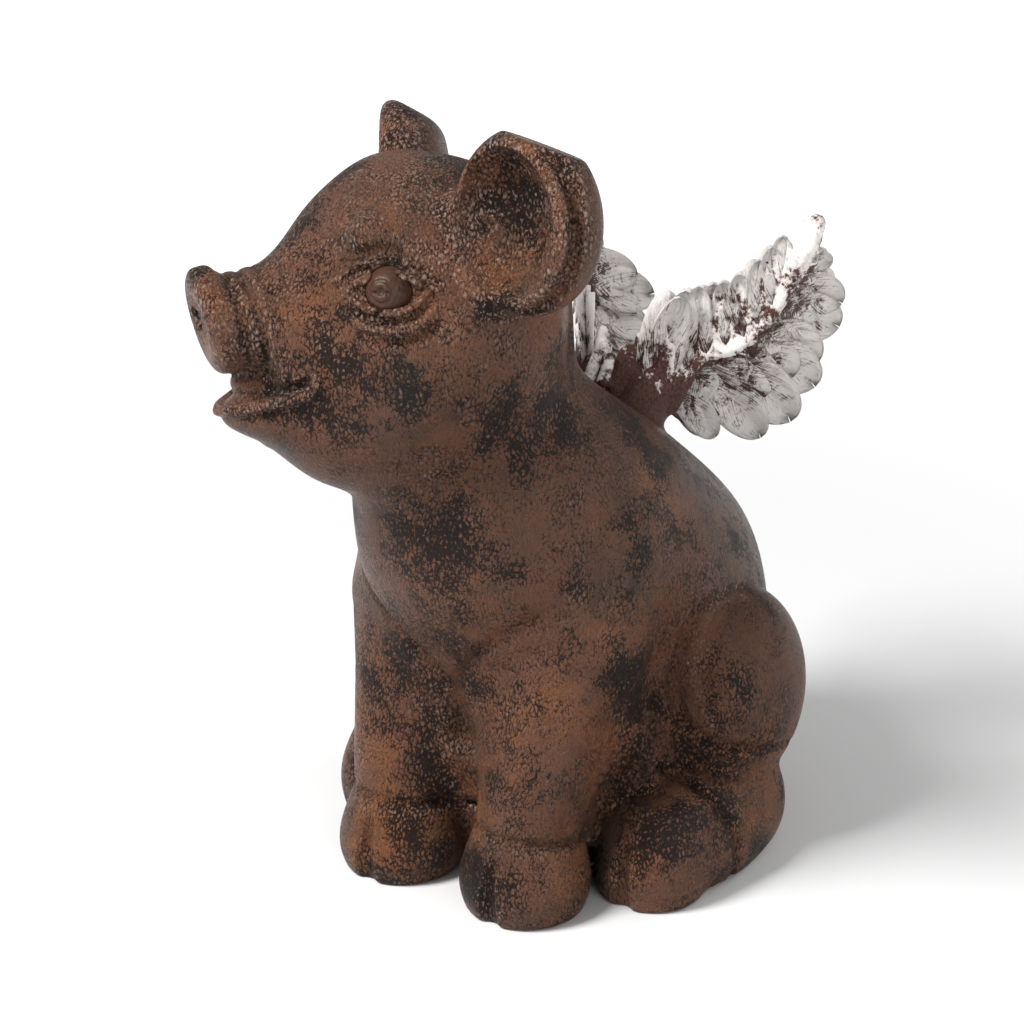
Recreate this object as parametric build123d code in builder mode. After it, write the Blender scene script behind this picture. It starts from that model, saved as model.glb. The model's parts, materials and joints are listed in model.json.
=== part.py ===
from build123d import *
from math import cos, pi, radians, sin, sqrt
import os

# Sitting piglet garden figurine with a pair of small feathered wings.
# Millimetres, +Z up. The chest faces -Y and the piglet's left side is +X.
# The origin is on the ground, midway between the left and the right feet.

# Torso: upright ovals, from the ground to the top of the neck
torso_height = 225
torso_width = 138
torso_depth = 172
casting_wall = 12
# height, middle across, middle along Y, half width, half depth
torso_shares = (
    (0.00, 0.000, 0.197, 0.407, 0.317),
    (0.07, 0.000, 0.215, 0.449, 0.366),
    (0.16, 0.000, 0.238, 0.478, 0.419),
    (0.27, 0.000, 0.244, 0.500, 0.465),
    (0.40, 0.000, 0.221, 0.486, 0.494),
    (0.53, 0.000, 0.140, 0.449, 0.500),
    (0.64, -0.007, 0.041, 0.399, 0.430),
    (0.73, -0.022, -0.040, 0.355, 0.349),
    (0.82, -0.051, -0.118, 0.307, 0.276),
    (0.91, -0.063, -0.156, 0.286, 0.230),
    (1.00, -0.059, -0.175, 0.254, 0.202),
)
# first and last of these ovals round the hollow
core_rows = slice(1, 7)

# Head: ovals square to the line from the back of the skull to the snout
head_length = 102
head_width = 94
head_height = 112
head_turn = -35
head_roll = 8
head_across_share = -0.058
head_along_share = -0.215
head_up_share = 0.969
# distance ahead of the head's middle, middle up, half width, half height
head_shares = (
    (-0.41, 0.000, 0.160, 0.150),
    (-0.35, 0.000, 0.300, 0.270),
    (-0.23, -0.009, 0.425, 0.393),
    (0.00, -0.027, 0.500, 0.482),
    (0.20, -0.054, 0.480, 0.500),
    (0.32, -0.080, 0.415, 0.464),
    (0.43, -0.107, 0.340, 0.402),
    (0.51, -0.125, 0.285, 0.330),
    (0.57, -0.125, 0.245, 0.260),
)
skull_end_share = -0.43
lower_jaw_shares = (
    (0.24, -0.375, 0.300, 0.150),
    (0.45, -0.340, 0.235, 0.116),
    (0.59, -0.312, 0.180, 0.070),
    (0.69, -0.300, 0.120, 0.047),
    (0.75, -0.290, 0.060, 0.026),
)
lower_lip_share = 0.77

# Snout: a short barrel with two folds, ending in a tilted disc with nostrils
snout_length = 45
snout_width = 36
snout_height = 36
snout_start_share = 0.39
snout_up_share = -0.018
snout_shares = (
    (0.00, 0.68, 0.72),
    (0.20, 0.64, 0.59),
    (0.40, 0.59, 0.49),
    (0.58, 0.53, 0.44),
    (0.76, 0.55, 0.47),
)
disc_thickness = 9
disc_height = 38
disc_width = 35
disc_tilt = 12
disc_middle_share = 0.80
# share of the thickness, half size
disc_shares = ((-0.5, 0.43), (-0.17, 0.50), (0.17, 0.50), (0.5, 0.42))
disc_recess = 1
nostril_height = 10
nostril_width = 6
nostril_depth = 4
nostril_spacing = 15

# Eyes: round glass set in a flat-bottomed socket, between two lids
eye_width = 16
eye_bulge = 3.5
eye_depth = 7
eye_clearance = 0.05
eye_ahead_share = 0.26
eye_up_share = 0.083
# how far the eye looks ahead, to its side and upward
eye_look_shares = (0.45, 0.88, 0.08)
lid_length = 27
lid_opening = 17
lid_thickness = 2.2
lid_root = 8

# Ears: deep cups on a stout root, each with a tenon in the side of the head
ear_width = 54
ear_height = 57
ear_depth = 25
ear_wall = 5
ear_facet_share = 0.44
# how far the flat top faces ahead, away from the head and up
ear_facet_way = (-0.366, 0.171, 0.914)
ear_outward = 27
ear_root_length = 26
ear_root_width = 22
ear_root_height = 40
ear_tenon_width = 10
ear_tenon_length = 30
ear_tenon_start_share = 0.3
ear_root_behind_share = 0.8
# middle of the ear's rim: ahead, to the side and up, over the head's sizes
left_ear_shares = (-0.08, 0.625, 0.262)
right_ear_shares = (0.00, 0.510, 0.362)
# share of the depth behind the rim, half size
ear_cup_shares = ((0.00, 0.500), (0.25, 0.492), (0.50, 0.440), (0.75, 0.330), (0.95, 0.150))
bond_gap = 0.3
tenon_clearance = 0.05

# Front legs: a hoof, and a column that swells into the shoulder
foreleg_height = 124
foreleg_width = 47
foreleg_spread = 56
foreleg_ahead = 35
hoof_height = 29
hoof_width = 47
# share of the hoof's height, back from the foot, half width, half depth
hoof_shares = (
    (0.00, 0.00, 0.440, 0.440),
    (0.25, 0.00, 0.500, 0.500),
    (0.50, 0.00, 0.490, 0.500),
    (0.75, 0.02, 0.460, 0.470),
    (1.00, 0.03, 0.390, 0.400),
)
# share of the leg's height, across and back from the foot, half width, half depth
foreleg_shares = (
    (0.20, 0.00, 0.03, 0.425, 0.430),
    (0.40, 0.02, 0.13, 0.425, 0.430),
    (0.60, 0.06, 0.29, 0.480, 0.490),
    (0.80, 0.09, 0.48, 0.530, 0.580),
    (1.00, 0.04, 0.66, 0.500, 0.620),
)

# Hind legs: a thigh against the flank, a lower leg lying forward on the ground, a hoof
thigh_width = 52
thigh_depth = 74
thigh_height = 82
thigh_across = 59
thigh_back = 52
thigh_middle_height = 61
thigh_steps_share = (-0.97, -0.8, -0.5, -0.15, 0.2, 0.5, 0.8, 0.97)
hindleg_spread = 120
hind_toe_ahead = 21
hind_hoof_length = 30
hindleg_length = 54
hindleg_width = 45
hindleg_height = 46
# share of the length, across, middle height, half width, half height
hind_hoof_shares = (
    (0.00, 0.00, 0.30, 0.250, 0.250),
    (0.25, 0.00, 0.37, 0.400, 0.380),
    (0.50, 0.00, 0.42, 0.460, 0.450),
    (0.75, 0.01, 0.44, 0.460, 0.460),
    (1.00, 0.02, 0.46, 0.390, 0.400),
)
hindleg_shares = (
    (0.00, 0.03, 0.40, 0.450, 0.480),
    (0.25, 0.06, 0.38, 0.500, 0.560),
    (0.50, 0.08, 0.36, 0.490, 0.580),
    (0.75, 0.09, 0.34, 0.450, 0.540),
    (1.00, 0.08, 0.34, 0.320, 0.420),
)
cleft_width = 3
cleft_depth = 8
cleft_height = 22
dewclaw_width = 10
dewclaw_spacing = 19
dewclaw_top = 40
dewclaw_taper = 15
dewclaw_back_share = 0.44

# Tail: a small curl that starts inside the rump
tail_thickness = 8
tail_curl_width = 24
tail_height = 62
# across over the curl's width, out from the rump over the thickness, up over the width,
# half size over the thickness
tail_shares = (
    (0.00, -0.9, 0.40, 0.62), (0.20, 0.4, 0.42, 0.54), (0.42, 0.5, 0.05, 0.48),
    (0.10, 0.7, -0.42, 0.42), (-0.32, 0.8, -0.05, 0.36), (-0.04, 0.9, 0.22, 0.26),
)

# Wings: cast feathers on a bent blade, seated on the back and held by two pins each
left_wing_reach = 46
right_wing_reach = 35
left_wing_rise = 68
right_wing_rise = 60
wing_sweep = 80
wing_thickness = 7
wing_root_across = 14
wing_root_back = 62
wing_root_height = 161
# direction square to the back under the root
wing_seat_shares = (0.26, 0.58, 0.77)
wing_boss_width = 26
wing_boss_height = 36
wing_boss_depth = 20
# share of the boss's depth, half size
wing_boss_shares = ((-0.7, 0.56), (-0.1, 0.52), (0.5, 0.44), (1.1, 0.28))
# across, back and up from the root, over reach, sweep and rise
wing_top_shares = (
    (0.00, 0.02, 0.58), (0.16, 0.10, 0.64), (0.37, 0.23, 0.67),
    (0.54, 0.29, 0.73), (0.77, 0.39, 0.90), (0.97, 0.48, 1.04),
)
wing_ridge_shares = (
    (0.00, 0.04, 0.02), (0.28, 0.20, 0.23), (0.54, 0.31, 0.33),
    (0.72, 0.40, 0.47), (0.90, 0.46, 0.74), (1.03, 0.52, 1.02),
)
wing_trail_shares = (
    (0.10, 0.12, -0.13), (0.30, 0.43, -0.24), (0.52, 0.88, -0.20),
    (0.62, 0.96, 0.06), (0.77, 0.99, 0.42), (1.03, 0.55, 0.92),
)
# half sizes of the arm across its ridge, over the wing's thickness, from root to tip
wing_arm_shares = (
    (1.10, 1.40), (0.95, 1.10), (0.80, 0.90), (0.72, 0.80), (0.60, 0.70), (0.40, 0.50),
)
feather_thickness = 1.6
feather_sink = 1.2
# place along the wing, length over the chord, half width over length, lift over wing thickness
flight_feather_shares = (
    (0.16, 1.00, 0.24, 0.02), (0.32, 1.00, 0.20, 0.06), (0.48, 1.00, 0.18, 0.10),
    (0.64, 1.00, 0.18, 0.14), (0.80, 1.00, 0.18, 0.18), (0.93, 0.96, 0.22, 0.22),
)
long_covert_shares = (
    (0.22, 0.68, 0.32, 0.24), (0.41, 0.68, 0.27, 0.28), (0.60, 0.68, 0.26, 0.32),
    (0.80, 0.68, 0.29, 0.38),
)
short_covert_shares = (
    (0.14, 0.42, 0.50, 0.46), (0.32, 0.40, 0.45, 0.50), (0.50, 0.38, 0.44, 0.54),
    (0.70, 0.38, 0.46, 0.62),
)
upright_feather_shares = (
    (0.06, 1.00, 0.44, 0.02), (0.20, 1.02, 0.34, 0.06), (0.38, 1.04, 0.40, 0.12),
    (0.57, 1.04, 0.48, 0.20), (0.78, 1.04, 0.56, 0.28),
)
# length and half width of one feather's outline
feather_root_share = 0.45
feather_swell_shares = (0.30, 0.85)
feather_shoulder_share = 0.66
dowel_width = 4
dowel_spacing = 12
dowel_in_body = 11
dowel_in_wing = 9
dowel_clearance = 0.03

# Hole under the casting, and its stopper
plug_width = 20
plug_flange_width = 25
plug_flange_thickness = 2.5
plug_recess = 1
plug_length = 18
plug_clearance = 0.05

# Shared small values
oval_points = 10
overrun = 5

head_middle = Vector(
    head_across_share * torso_width, head_along_share * torso_depth, head_up_share * torso_height
)
head_forward = Vector(sin(radians(head_turn)), -cos(radians(head_turn)), 0)
head_left = (
    Vector(cos(radians(head_turn)), sin(radians(head_turn)), 0) * cos(radians(head_roll))
    + Vector(0, 0, 1) * sin(radians(head_roll))
)
head_upward = head_forward.cross(head_left)


def in_head(ahead, left, up):
    """A point given in millimetres along the head's own directions."""
    return head_middle + head_forward * ahead + head_left * left + head_upward * up


def between(rows, place):
    """One row of a table at any place, read straight between its neighbours."""
    step = min(int(place * (len(rows) - 1)), len(rows) - 2)
    part = place * (len(rows) - 1) - step
    return [low + (high - low) * part for low, high in zip(rows[step], rows[step + 1])]


def oval(plane, across, along, half_x, half_y):
    """Draws one closed smooth oval on a plane."""
    turns = [2 * pi * step / oval_points for step in range(oval_points)]
    with BuildSketch(plane, mode=Mode.PRIVATE) as outline:
        with BuildLine():
            Spline(
                *[(across + half_x * cos(t), along + half_y * sin(t)) for t in turns],
                periodic=True,
            )
        make_face()
    return outline.sketch.faces()[0]


def upright_plane(height):
    """A level plane at a height."""
    return Plane.XY.offset(height)


def head_plane(ahead):
    """A plane square to the head, with its x to the head's left and its y upward."""
    return Plane(origin=head_middle + head_forward * ahead, x_dir=head_left, z_dir=head_forward)


def torso_form(rows, wall=0, mode=Mode.ADD):
    """Lofts the torso, or with a wall the hollow inside it."""
    faces = [
        oval(
            upright_plane(height * torso_height),
            across * torso_width,
            along * torso_depth,
            half_x * torso_width - wall,
            half_y * torso_depth - wall,
        )
        for height, across, along, half_x, half_y in rows
    ]
    return loft(faces, mode=mode)


def head_form():
    """Lofts the skull and cheeks, with a rounded back."""
    faces = [
        oval(
            head_plane(ahead * head_length),
            0,
            up * head_height,
            half_x * head_width,
            half_y * head_height,
        )
        for ahead, up, half_x, half_y in head_shares
    ]
    back = Vertex(*in_head(skull_end_share * head_length, 0, 0))
    return loft([back] + faces)


def jaw_form():
    """Lofts the lower jaw, closed at the lip."""
    faces = [
        oval(
            head_plane(ahead * head_length),
            0,
            up * head_height,
            half_x * head_width,
            half_y * head_height,
        )
        for ahead, up, half_x, half_y in lower_jaw_shares
    ]
    lip_up = lower_jaw_shares[-1][1] * head_height
    return loft(faces + [Vertex(*in_head(lower_lip_share * head_length, 0, lip_up))])


def snout_form():
    """Lofts the folded barrel of the snout."""
    return loft(
        [
            oval(
                head_plane(snout_start_share * head_length + ahead * snout_length),
                0,
                snout_up_share * head_height,
                half_x * snout_width,
                half_y * snout_height,
            )
            for ahead, half_x, half_y in snout_shares
        ]
    )


def hoof_form(side):
    """Lofts a front hoof, standing on the ground."""
    return loft(
        [
            oval(
                upright_plane(height * hoof_height),
                side * foreleg_spread / 2,
                back * hoof_width - foreleg_ahead,
                half_x * hoof_width,
                half_y * hoof_width,
            )
            for height, back, half_x, half_y in hoof_shares
        ]
    )


def foreleg_form(side):
    """Lofts a front leg, from its hoof into the shoulder."""
    return loft(
        [
            oval(
                upright_plane(height * foreleg_height),
                side * (foreleg_spread / 2 + across * foreleg_width),
                back * foreleg_width - foreleg_ahead,
                half_x * foreleg_width,
                half_y * foreleg_width,
            )
            for height, across, back, half_x, half_y in foreleg_shares
        ]
    )


def lying_form(rows, start, length, side):
    """Lofts upright ovals that follow each other back along a hind leg's line."""
    return loft(
        [
            oval(
                Plane(origin=(0, start + back * length, 0), x_dir=(1, 0, 0), z_dir=(0, -1, 0)),
                side * (hindleg_spread / 2 + across * hindleg_width),
                up * hindleg_height,
                half_x * hindleg_width,
                half_y * hindleg_height,
            )
            for back, across, up, half_x, half_y in rows
        ]
    )


def thigh_form(side):
    """Lofts a thigh as a stack of ovals that follow a round."""
    return loft(
        [
            oval(
                upright_plane(thigh_middle_height + share * thigh_height / 2),
                side * thigh_across,
                thigh_back,
                thigh_width / 2 * sqrt(1 - share**2),
                thigh_depth / 2 * sqrt(1 - share**2),
            )
            for share in thigh_steps_share
        ]
    )


def disc_plane(ahead):
    """A plane across the snout's disc, tilted so that its top leads."""
    tilt = radians(disc_tilt)
    middle = in_head(
        snout_start_share * head_length + disc_middle_share * snout_length,
        0,
        snout_up_share * head_height,
    )
    normal = head_forward * cos(tilt) - head_upward * sin(tilt)
    return Plane(origin=middle + normal * ahead, x_dir=head_left, z_dir=normal)


def disc_form():
    """Lofts the snout's disc with its rounded rim."""
    return loft(
        [
            oval(disc_plane(place * disc_thickness), 0, 0, half * disc_width, half * disc_height)
            for place, half in disc_shares
        ],
        ruled=True,
    )


def cheek_half_width(ahead, up):
    """Half width of the head at a place ahead of its middle and a height above it."""
    rows = list(zip(head_shares, head_shares[1:]))
    low, high = next(pair for pair in rows if pair[0][0] <= ahead <= pair[1][0])
    part = (ahead - low[0]) / (high[0] - low[0])
    middle, half_x, half_y = [a + (b - a) * part for a, b in zip(low[1:], high[1:])]
    return half_x * head_width * sqrt(1 - ((up - middle) / half_y) ** 2)


def eye_plane(side):
    """A plane that touches the head at an eye, its x pointing to the snout."""
    ahead, outward, upward = eye_look_shares
    look = head_forward * ahead + head_left * (side * outward) + head_upward * upward
    look = look.normalized()
    place = in_head(
        eye_ahead_share * head_length,
        side * cheek_half_width(eye_ahead_share, eye_up_share),
        eye_up_share * head_height,
    )
    return Plane(origin=place, x_dir=head_forward - look * head_forward.dot(look), z_dir=look)


def eye_form(side, clearance=0, mode=Mode.ADD):
    """Turns an eye: flat back, straight side and domed front."""
    face = eye_plane(side)
    radius = eye_width / 2 + clearance
    dome = (radius**2 + eye_bulge**2) / (2 * eye_bulge)
    with BuildSketch(Plane(origin=face.origin, x_dir=face.x_dir, z_dir=-face.y_dir)) as profile:
        with BuildLine():
            Polyline((0, eye_bulge), (0, -eye_depth), (radius, -eye_depth), (radius, 0))
            RadiusArc((radius, 0), (0, eye_bulge), -dome)
        make_face()
    revolve(profile.sketch, axis=Axis(face.origin, face.z_dir), mode=mode)


def almond(face, length, height):
    """Draws an almond between two arcs that meet in the corners of an eye."""
    with BuildSketch(face, mode=Mode.PRIVATE) as outline:
        with BuildLine():
            for direction in (1, -1):
                ThreePointArc((length / 2, 0), (0, direction * height / 2), (-length / 2, 0))
        make_face()
    return outline.sketch


def lid_forms(side):
    """Raises the lids round an eye, with an almond opening over its socket."""
    base = eye_plane(side).offset(-lid_root)
    rim = lid_thickness * 2
    extrude(almond(base, lid_length + rim, lid_opening + rim), amount=lid_root + lid_thickness)
    opening = almond(eye_plane(side), lid_length - rim / 2, lid_opening - rim / 2)
    extrude(opening, amount=lid_thickness, mode=Mode.SUBTRACT)


def ear_plane(side, behind=0):
    """A plane across an ear's rim, or behind it, with its y upward."""
    turn = radians(ear_outward)
    ahead, out, up = left_ear_shares if side > 0 else right_ear_shares
    normal = head_forward * cos(turn) + head_left * (side * sin(turn))
    across = head_left * cos(turn) - head_forward * (side * sin(turn))
    middle = in_head(ahead * head_length, side * out * head_width, up * head_height)
    return Plane(origin=middle - normal * behind, x_dir=across, z_dir=normal)


def ear_cup(side, wall=0):
    """Lofts an ear's cup, or with a wall the hollow inside it."""
    width = ear_width - wall * 2
    height = ear_height - wall * 2
    depth = ear_depth - wall
    faces = [
        oval(ear_plane(side, behind * depth), 0, 0, half * width, half * height)
        for behind, half in ear_cup_shares
    ]
    end = ear_plane(side, depth).origin
    mode = Mode.SUBTRACT if wall else Mode.ADD
    return loft(faces + [Vertex(*end)], mode=mode)


def ear_facet(side):
    """The plane of an ear's flat top, which slopes down to the back."""
    rim = ear_plane(side)
    ahead, out, up = ear_facet_way
    normal = rim.z_dir * ahead + rim.x_dir * (side * out) + rim.y_dir * up
    return Plane(origin=rim.origin + normal * (ear_facet_share * ear_height), z_dir=normal)


def ear_root(side):
    """Lofts the stout root that joins an ear's back to the head."""
    middle = ear_plane(side, ear_root_behind_share * ear_depth)
    faces = []
    for place in (0.0, 0.33, 0.67, 1.0):
        origin = middle.origin - middle.x_dir * (side * place * ear_root_length)
        cut = Plane(origin=origin, x_dir=middle.z_dir, z_dir=-middle.x_dir * side)
        swell = 0.40 + 0.10 * place
        faces.append(oval(cut, 0, 0, swell * ear_root_width, swell * ear_root_height))
    return loft(faces)


def ear_tenon(side, clearance=0, mode=Mode.ADD):
    """A round tenon from inside an ear's root into the head."""
    middle = ear_plane(side, ear_depth)
    inward = -middle.x_dir * side
    start = Plane(
        origin=middle.origin + inward * (ear_tenon_start_share * ear_root_length), z_dir=inward
    )
    with BuildSketch(start) as profile:
        Circle(ear_tenon_width / 2 + clearance)
    extrude(profile.sketch, amount=ear_tenon_length, mode=mode)


def limb(points, sizes):
    """Lofts ovals along a row of points, each square to the way the row runs there."""
    faces = []
    for step, (half_x, half_y) in enumerate(sizes):
        ahead = points[min(step + 1, len(points) - 1)] - points[max(step - 1, 0)]
        cut = Plane(origin=points[step], x_dir=ahead.cross(Vector(0, -1, 0)), z_dir=ahead)
        faces.append(oval(cut, 0, 0, half_x, half_y))
    return loft(faces, ruled=True)


def tail_form():
    """Lofts the tail along its curl."""
    rump = torso_shares[3]
    surface = (rump[2] + rump[4]) * torso_depth
    points = [
        Vector(
            across * tail_curl_width,
            surface + out * tail_thickness,
            tail_height + up * tail_curl_width,
        )
        for across, out, up, _ in tail_shares
    ]
    return limb(points, [(half * tail_thickness, half * tail_thickness) for *_, half in tail_shares])


def wing_point(share, side):
    """A point of a wing, from its shares of the reach, the sweep and the rise."""
    reach = left_wing_reach if side > 0 else right_wing_reach
    rise = left_wing_rise if side > 0 else right_wing_rise
    return Vector(
        side * (wing_root_across + share[0] * reach),
        wing_root_back + share[1] * wing_sweep,
        wing_root_height + share[2] * rise,
    )


def wing_seat(side):
    """The plane of a wing's root, square to the back, with its y up the back."""
    across, back, up = wing_seat_shares
    normal = Vector(side * across, back, up)
    level = Vector(0, 0, 1).cross(normal)
    return Plane(origin=wing_point((0, 0, 0), side), x_dir=level, z_dir=normal)


def arm_form(side):
    """Lofts the rounded arm along the wing's fold, which carries the feathers."""
    return limb(
        [wing_point(row, side) for row in wing_ridge_shares],
        [(half_x * wing_thickness, half_y * wing_thickness) for half_x, half_y in wing_arm_shares],
    )


def feather(side, rows, place, length_share, width_share, lift_share):
    """Lays one feather on the blade, from the ridge towards an edge of the wing."""
    start = wing_point(between(wing_ridge_shares, place), side)
    ahead = wing_point(between(wing_ridge_shares, min(place + 0.05, 1)), side)
    reach = wing_point(between(rows, place), side) - start
    length = reach.length * length_share
    half = length * width_share
    normal = (ahead - start).cross(reach).normalized()
    if normal.dot(Vector(side, -1, -0.5)) < 0:
        normal = normal * -1
    face = Plane(origin=start - normal * feather_sink, x_dir=reach, z_dir=normal)
    with BuildSketch(face) as outline:
        with BuildLine():
            Line((0, -half * feather_root_share), (0, half * feather_root_share))
            ThreePointArc(
                (0, half * feather_root_share),
                (length * feather_swell_shares[0], half * feather_swell_shares[1]),
                (length * feather_shoulder_share, half),
            )
            ThreePointArc(
                (length * feather_shoulder_share, half),
                (length, 0),
                (length * feather_shoulder_share, -half),
            )
            ThreePointArc(
                (length * feather_shoulder_share, -half),
                (length * feather_swell_shares[0], -half * feather_swell_shares[1]),
                (0, -half * feather_root_share),
            )
        make_face()
    extrude(outline.sketch, amount=feather_sink + lift_share * wing_thickness + feather_thickness)


def wing_boss(side):
    """Lofts the bare root that stands on the back."""
    seat = wing_seat(side)
    return loft(
        [
            oval(
                seat.offset(place * wing_boss_depth),
                0,
                0,
                half * wing_boss_width,
                half * wing_boss_height,
            )
            for place, half in wing_boss_shares
        ]
    )


def dowel(side, end, clearance=0, mode=Mode.ADD):
    """One of the two pins that cross the seam under a wing, the upper or the lower one."""
    seat = wing_seat(side)
    with BuildSketch(seat.offset(-dowel_in_body)) as profile:
        with Locations((0, end * dowel_spacing / 2)):
            Circle(dowel_width / 2 + clearance)
    extrude(profile.sketch, amount=dowel_in_body + dowel_in_wing, mode=mode)


def cleft_cut(across, front, height):
    """Cuts the cleft that parts the two toes of a hoof."""
    with BuildSketch(Plane.XY.offset(-overrun)) as profile:
        with BuildLine():
            Polyline(
                (across - cleft_width / 2, front - overrun),
                (across + cleft_width / 2, front - overrun),
                (across + cleft_width / 2, front),
                (across, front + cleft_depth),
                (across - cleft_width / 2, front),
                close=True,
            )
        make_face()
    extrude(profile.sketch, amount=overrun + height, mode=Mode.SUBTRACT)


def dewclaw_forms(side):
    """Builds the pair of dewclaws behind a front hoof, as two short cones."""
    back = dewclaw_back_share * hoof_width - foreleg_ahead
    top = Plane.XY.offset(dewclaw_top)
    with BuildSketch(top) as profile:
        with Locations((side * foreleg_spread / 2, back)):
            with GridLocations(dewclaw_spacing, 0, 2, 1):
                Circle(dewclaw_width / 2)
    extrude(profile.sketch, amount=-dewclaw_width, taper=dewclaw_taper)


def nostril_cuts():
    """Cuts the two nostrils into the disc."""
    front = disc_plane(disc_thickness / 2 - nostril_depth)
    with BuildSketch(front) as profile:
        with Locations((-nostril_spacing / 2, 0), (nostril_spacing / 2, 0)):
            Ellipse(nostril_width / 2, nostril_height / 2)
    extrude(profile.sketch, amount=nostril_depth + overrun, mode=Mode.SUBTRACT)


def plug_form(clearance=0, mode=Mode.ADD):
    """Builds the stepped stopper of the casting's hole."""
    middle = torso_shares[0][2] * torso_depth
    flange = Plane.XY.offset(plug_recess) * Pos(0, middle)
    with BuildSketch(flange) as wide:
        Circle(plug_flange_width / 2 + clearance)
    extrude(wide.sketch, amount=plug_flange_thickness, mode=mode)
    with BuildSketch(flange) as narrow:
        Circle(plug_width / 2 + clearance)
    extrude(narrow.sketch, amount=plug_length, mode=mode)


with BuildPart() as bare_torso:
    torso_form(torso_shares)

with BuildPart() as bare_head:
    head_form()

with BuildPart() as body:
    torso_form(torso_shares)
    head_form()
    snout_form()
    jaw_form()
    for side in (1, -1):
        hoof_form(side)
        foreleg_form(side)
        thigh_form(side)
        lying_form(hindleg_shares, hind_hoof_length - hind_toe_ahead, hindleg_length, side)
        lying_form(hind_hoof_shares, -hind_toe_ahead, hind_hoof_length, side)
    disc_form()
    tail_form()
    for side in (1, -1):
        lid_forms(side)
        dewclaw_forms(side)
    split(bisect_by=Plane.XY, keep=Keep.TOP)
    nostril_cuts()
    for side in (1, -1):
        cleft_cut(side * foreleg_spread / 2, -foreleg_ahead - hoof_width / 2, cleft_height)
        cleft_cut(side * hindleg_spread / 2, -hind_toe_ahead, cleft_height)
        eye_form(side, eye_clearance, Mode.SUBTRACT)
        ear_tenon(side, tenon_clearance, Mode.SUBTRACT)
        for end in (1, -1):
            dowel(side, end, dowel_clearance, Mode.SUBTRACT)
    torso_form(torso_shares[core_rows], casting_wall, Mode.SUBTRACT)
    plug_form(plug_clearance, Mode.SUBTRACT)
    # the recess below the flange, open to the ground
    with BuildSketch(Plane.XY) as recess:
        with Locations((0, torso_shares[0][2] * torso_depth)):
            Circle(plug_flange_width / 2 + plug_clearance)
    extrude(amount=plug_recess, mode=Mode.SUBTRACT)


def make_eye(side):
    """Builds one eye."""
    with BuildPart() as eye:
        eye_form(side)
    return eye.part


def make_ear(side):
    """Builds one ear: cup, root and tenon, seated on the side of the head."""
    inward = ear_plane(side).x_dir * -side
    with BuildPart() as ear:
        ear_cup(side)
        ear_root(side)
        ear_cup(side, ear_wall)
        split(bisect_by=ear_facet(side), keep=Keep.BOTTOM)
        add(Pos(-inward * bond_gap) * bare_head.part, mode=Mode.SUBTRACT)
        ear_tenon(side)
    return ear.part


def make_wing(side):
    """Builds one wing: arm, root and four rows of feathers, with holes for its pins."""
    seat = wing_seat(side)
    with BuildPart() as wing:
        arm_form(side)
        wing_boss(side)
        for row in flight_feather_shares + long_covert_shares + short_covert_shares:
            feather(side, wing_trail_shares, *row)
        for row in upright_feather_shares:
            feather(side, wing_top_shares, *row)
        add(Pos(seat.z_dir * bond_gap) * bare_torso.part, mode=Mode.SUBTRACT)
        # the seam where the two wings meet over the spine
        split(bisect_by=Plane.YZ.offset(bond_gap * side), keep=Keep.TOP if side > 0 else Keep.BOTTOM)
        for end in (1, -1):
            dowel(side, end, dowel_clearance, Mode.SUBTRACT)
    return wing.part


def make_dowel(side, end):
    """Builds one pin of one wing."""
    with BuildPart() as pin:
        dowel(side, end)
    return pin.part


with BuildPart() as base_plug:
    plug_form()

pieces = {"body": body.part, "base_plug": base_plug.part}
for hand, side in (("left", 1), ("right", -1)):
    pieces[f"{hand}_eye"] = make_eye(side)
    pieces[f"{hand}_ear"] = make_ear(side)
    pieces[f"{hand}_wing"] = make_wing(side)
    pieces[f"{hand}_wing_upper_dowel"] = make_dowel(side, 1)
    pieces[f"{hand}_wing_lower_dowel"] = make_dowel(side, -1)

os.makedirs("parts", exist_ok=True)
for name, piece in pieces.items():
    piece.label = name
    export_step(piece, f"parts/{name}.step")
    print(name, round(piece.volume), piece.is_valid, len(piece.solids()))
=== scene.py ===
"""Looks of the seated, winged piglet figurine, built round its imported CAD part."""

import json
import logging
import math
from collections.abc import Callable, Sequence
from dataclasses import dataclass, field
from enum import Enum
from itertools import product

import bmesh
import bpy
import numpy as np
from mathutils import Matrix, Vector

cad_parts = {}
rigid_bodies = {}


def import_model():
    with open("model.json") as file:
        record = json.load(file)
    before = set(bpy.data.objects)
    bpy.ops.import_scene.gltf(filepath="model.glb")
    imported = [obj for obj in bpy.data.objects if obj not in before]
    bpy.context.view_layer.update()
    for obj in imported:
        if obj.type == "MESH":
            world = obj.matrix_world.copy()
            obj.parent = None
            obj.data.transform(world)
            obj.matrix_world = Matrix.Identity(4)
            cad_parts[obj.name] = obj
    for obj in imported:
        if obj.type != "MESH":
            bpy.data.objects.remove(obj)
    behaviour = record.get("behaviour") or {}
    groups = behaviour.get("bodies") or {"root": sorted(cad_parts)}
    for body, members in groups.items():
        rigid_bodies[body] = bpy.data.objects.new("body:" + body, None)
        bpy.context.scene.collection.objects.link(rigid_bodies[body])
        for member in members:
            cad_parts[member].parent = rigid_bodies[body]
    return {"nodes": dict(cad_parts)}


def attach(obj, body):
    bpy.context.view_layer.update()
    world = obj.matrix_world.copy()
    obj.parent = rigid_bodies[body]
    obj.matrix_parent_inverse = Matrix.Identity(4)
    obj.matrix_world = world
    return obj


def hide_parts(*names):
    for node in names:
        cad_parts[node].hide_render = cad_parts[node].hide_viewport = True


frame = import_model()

LOG = logging.getLogger("piglet")
MM = 0.001
TINY = 1e-9
WORLD = np.eye(3)
UPRIGHT = np.array([[0, 0, 1.0], [1, 0, 0], [0, 1, 0]])
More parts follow.
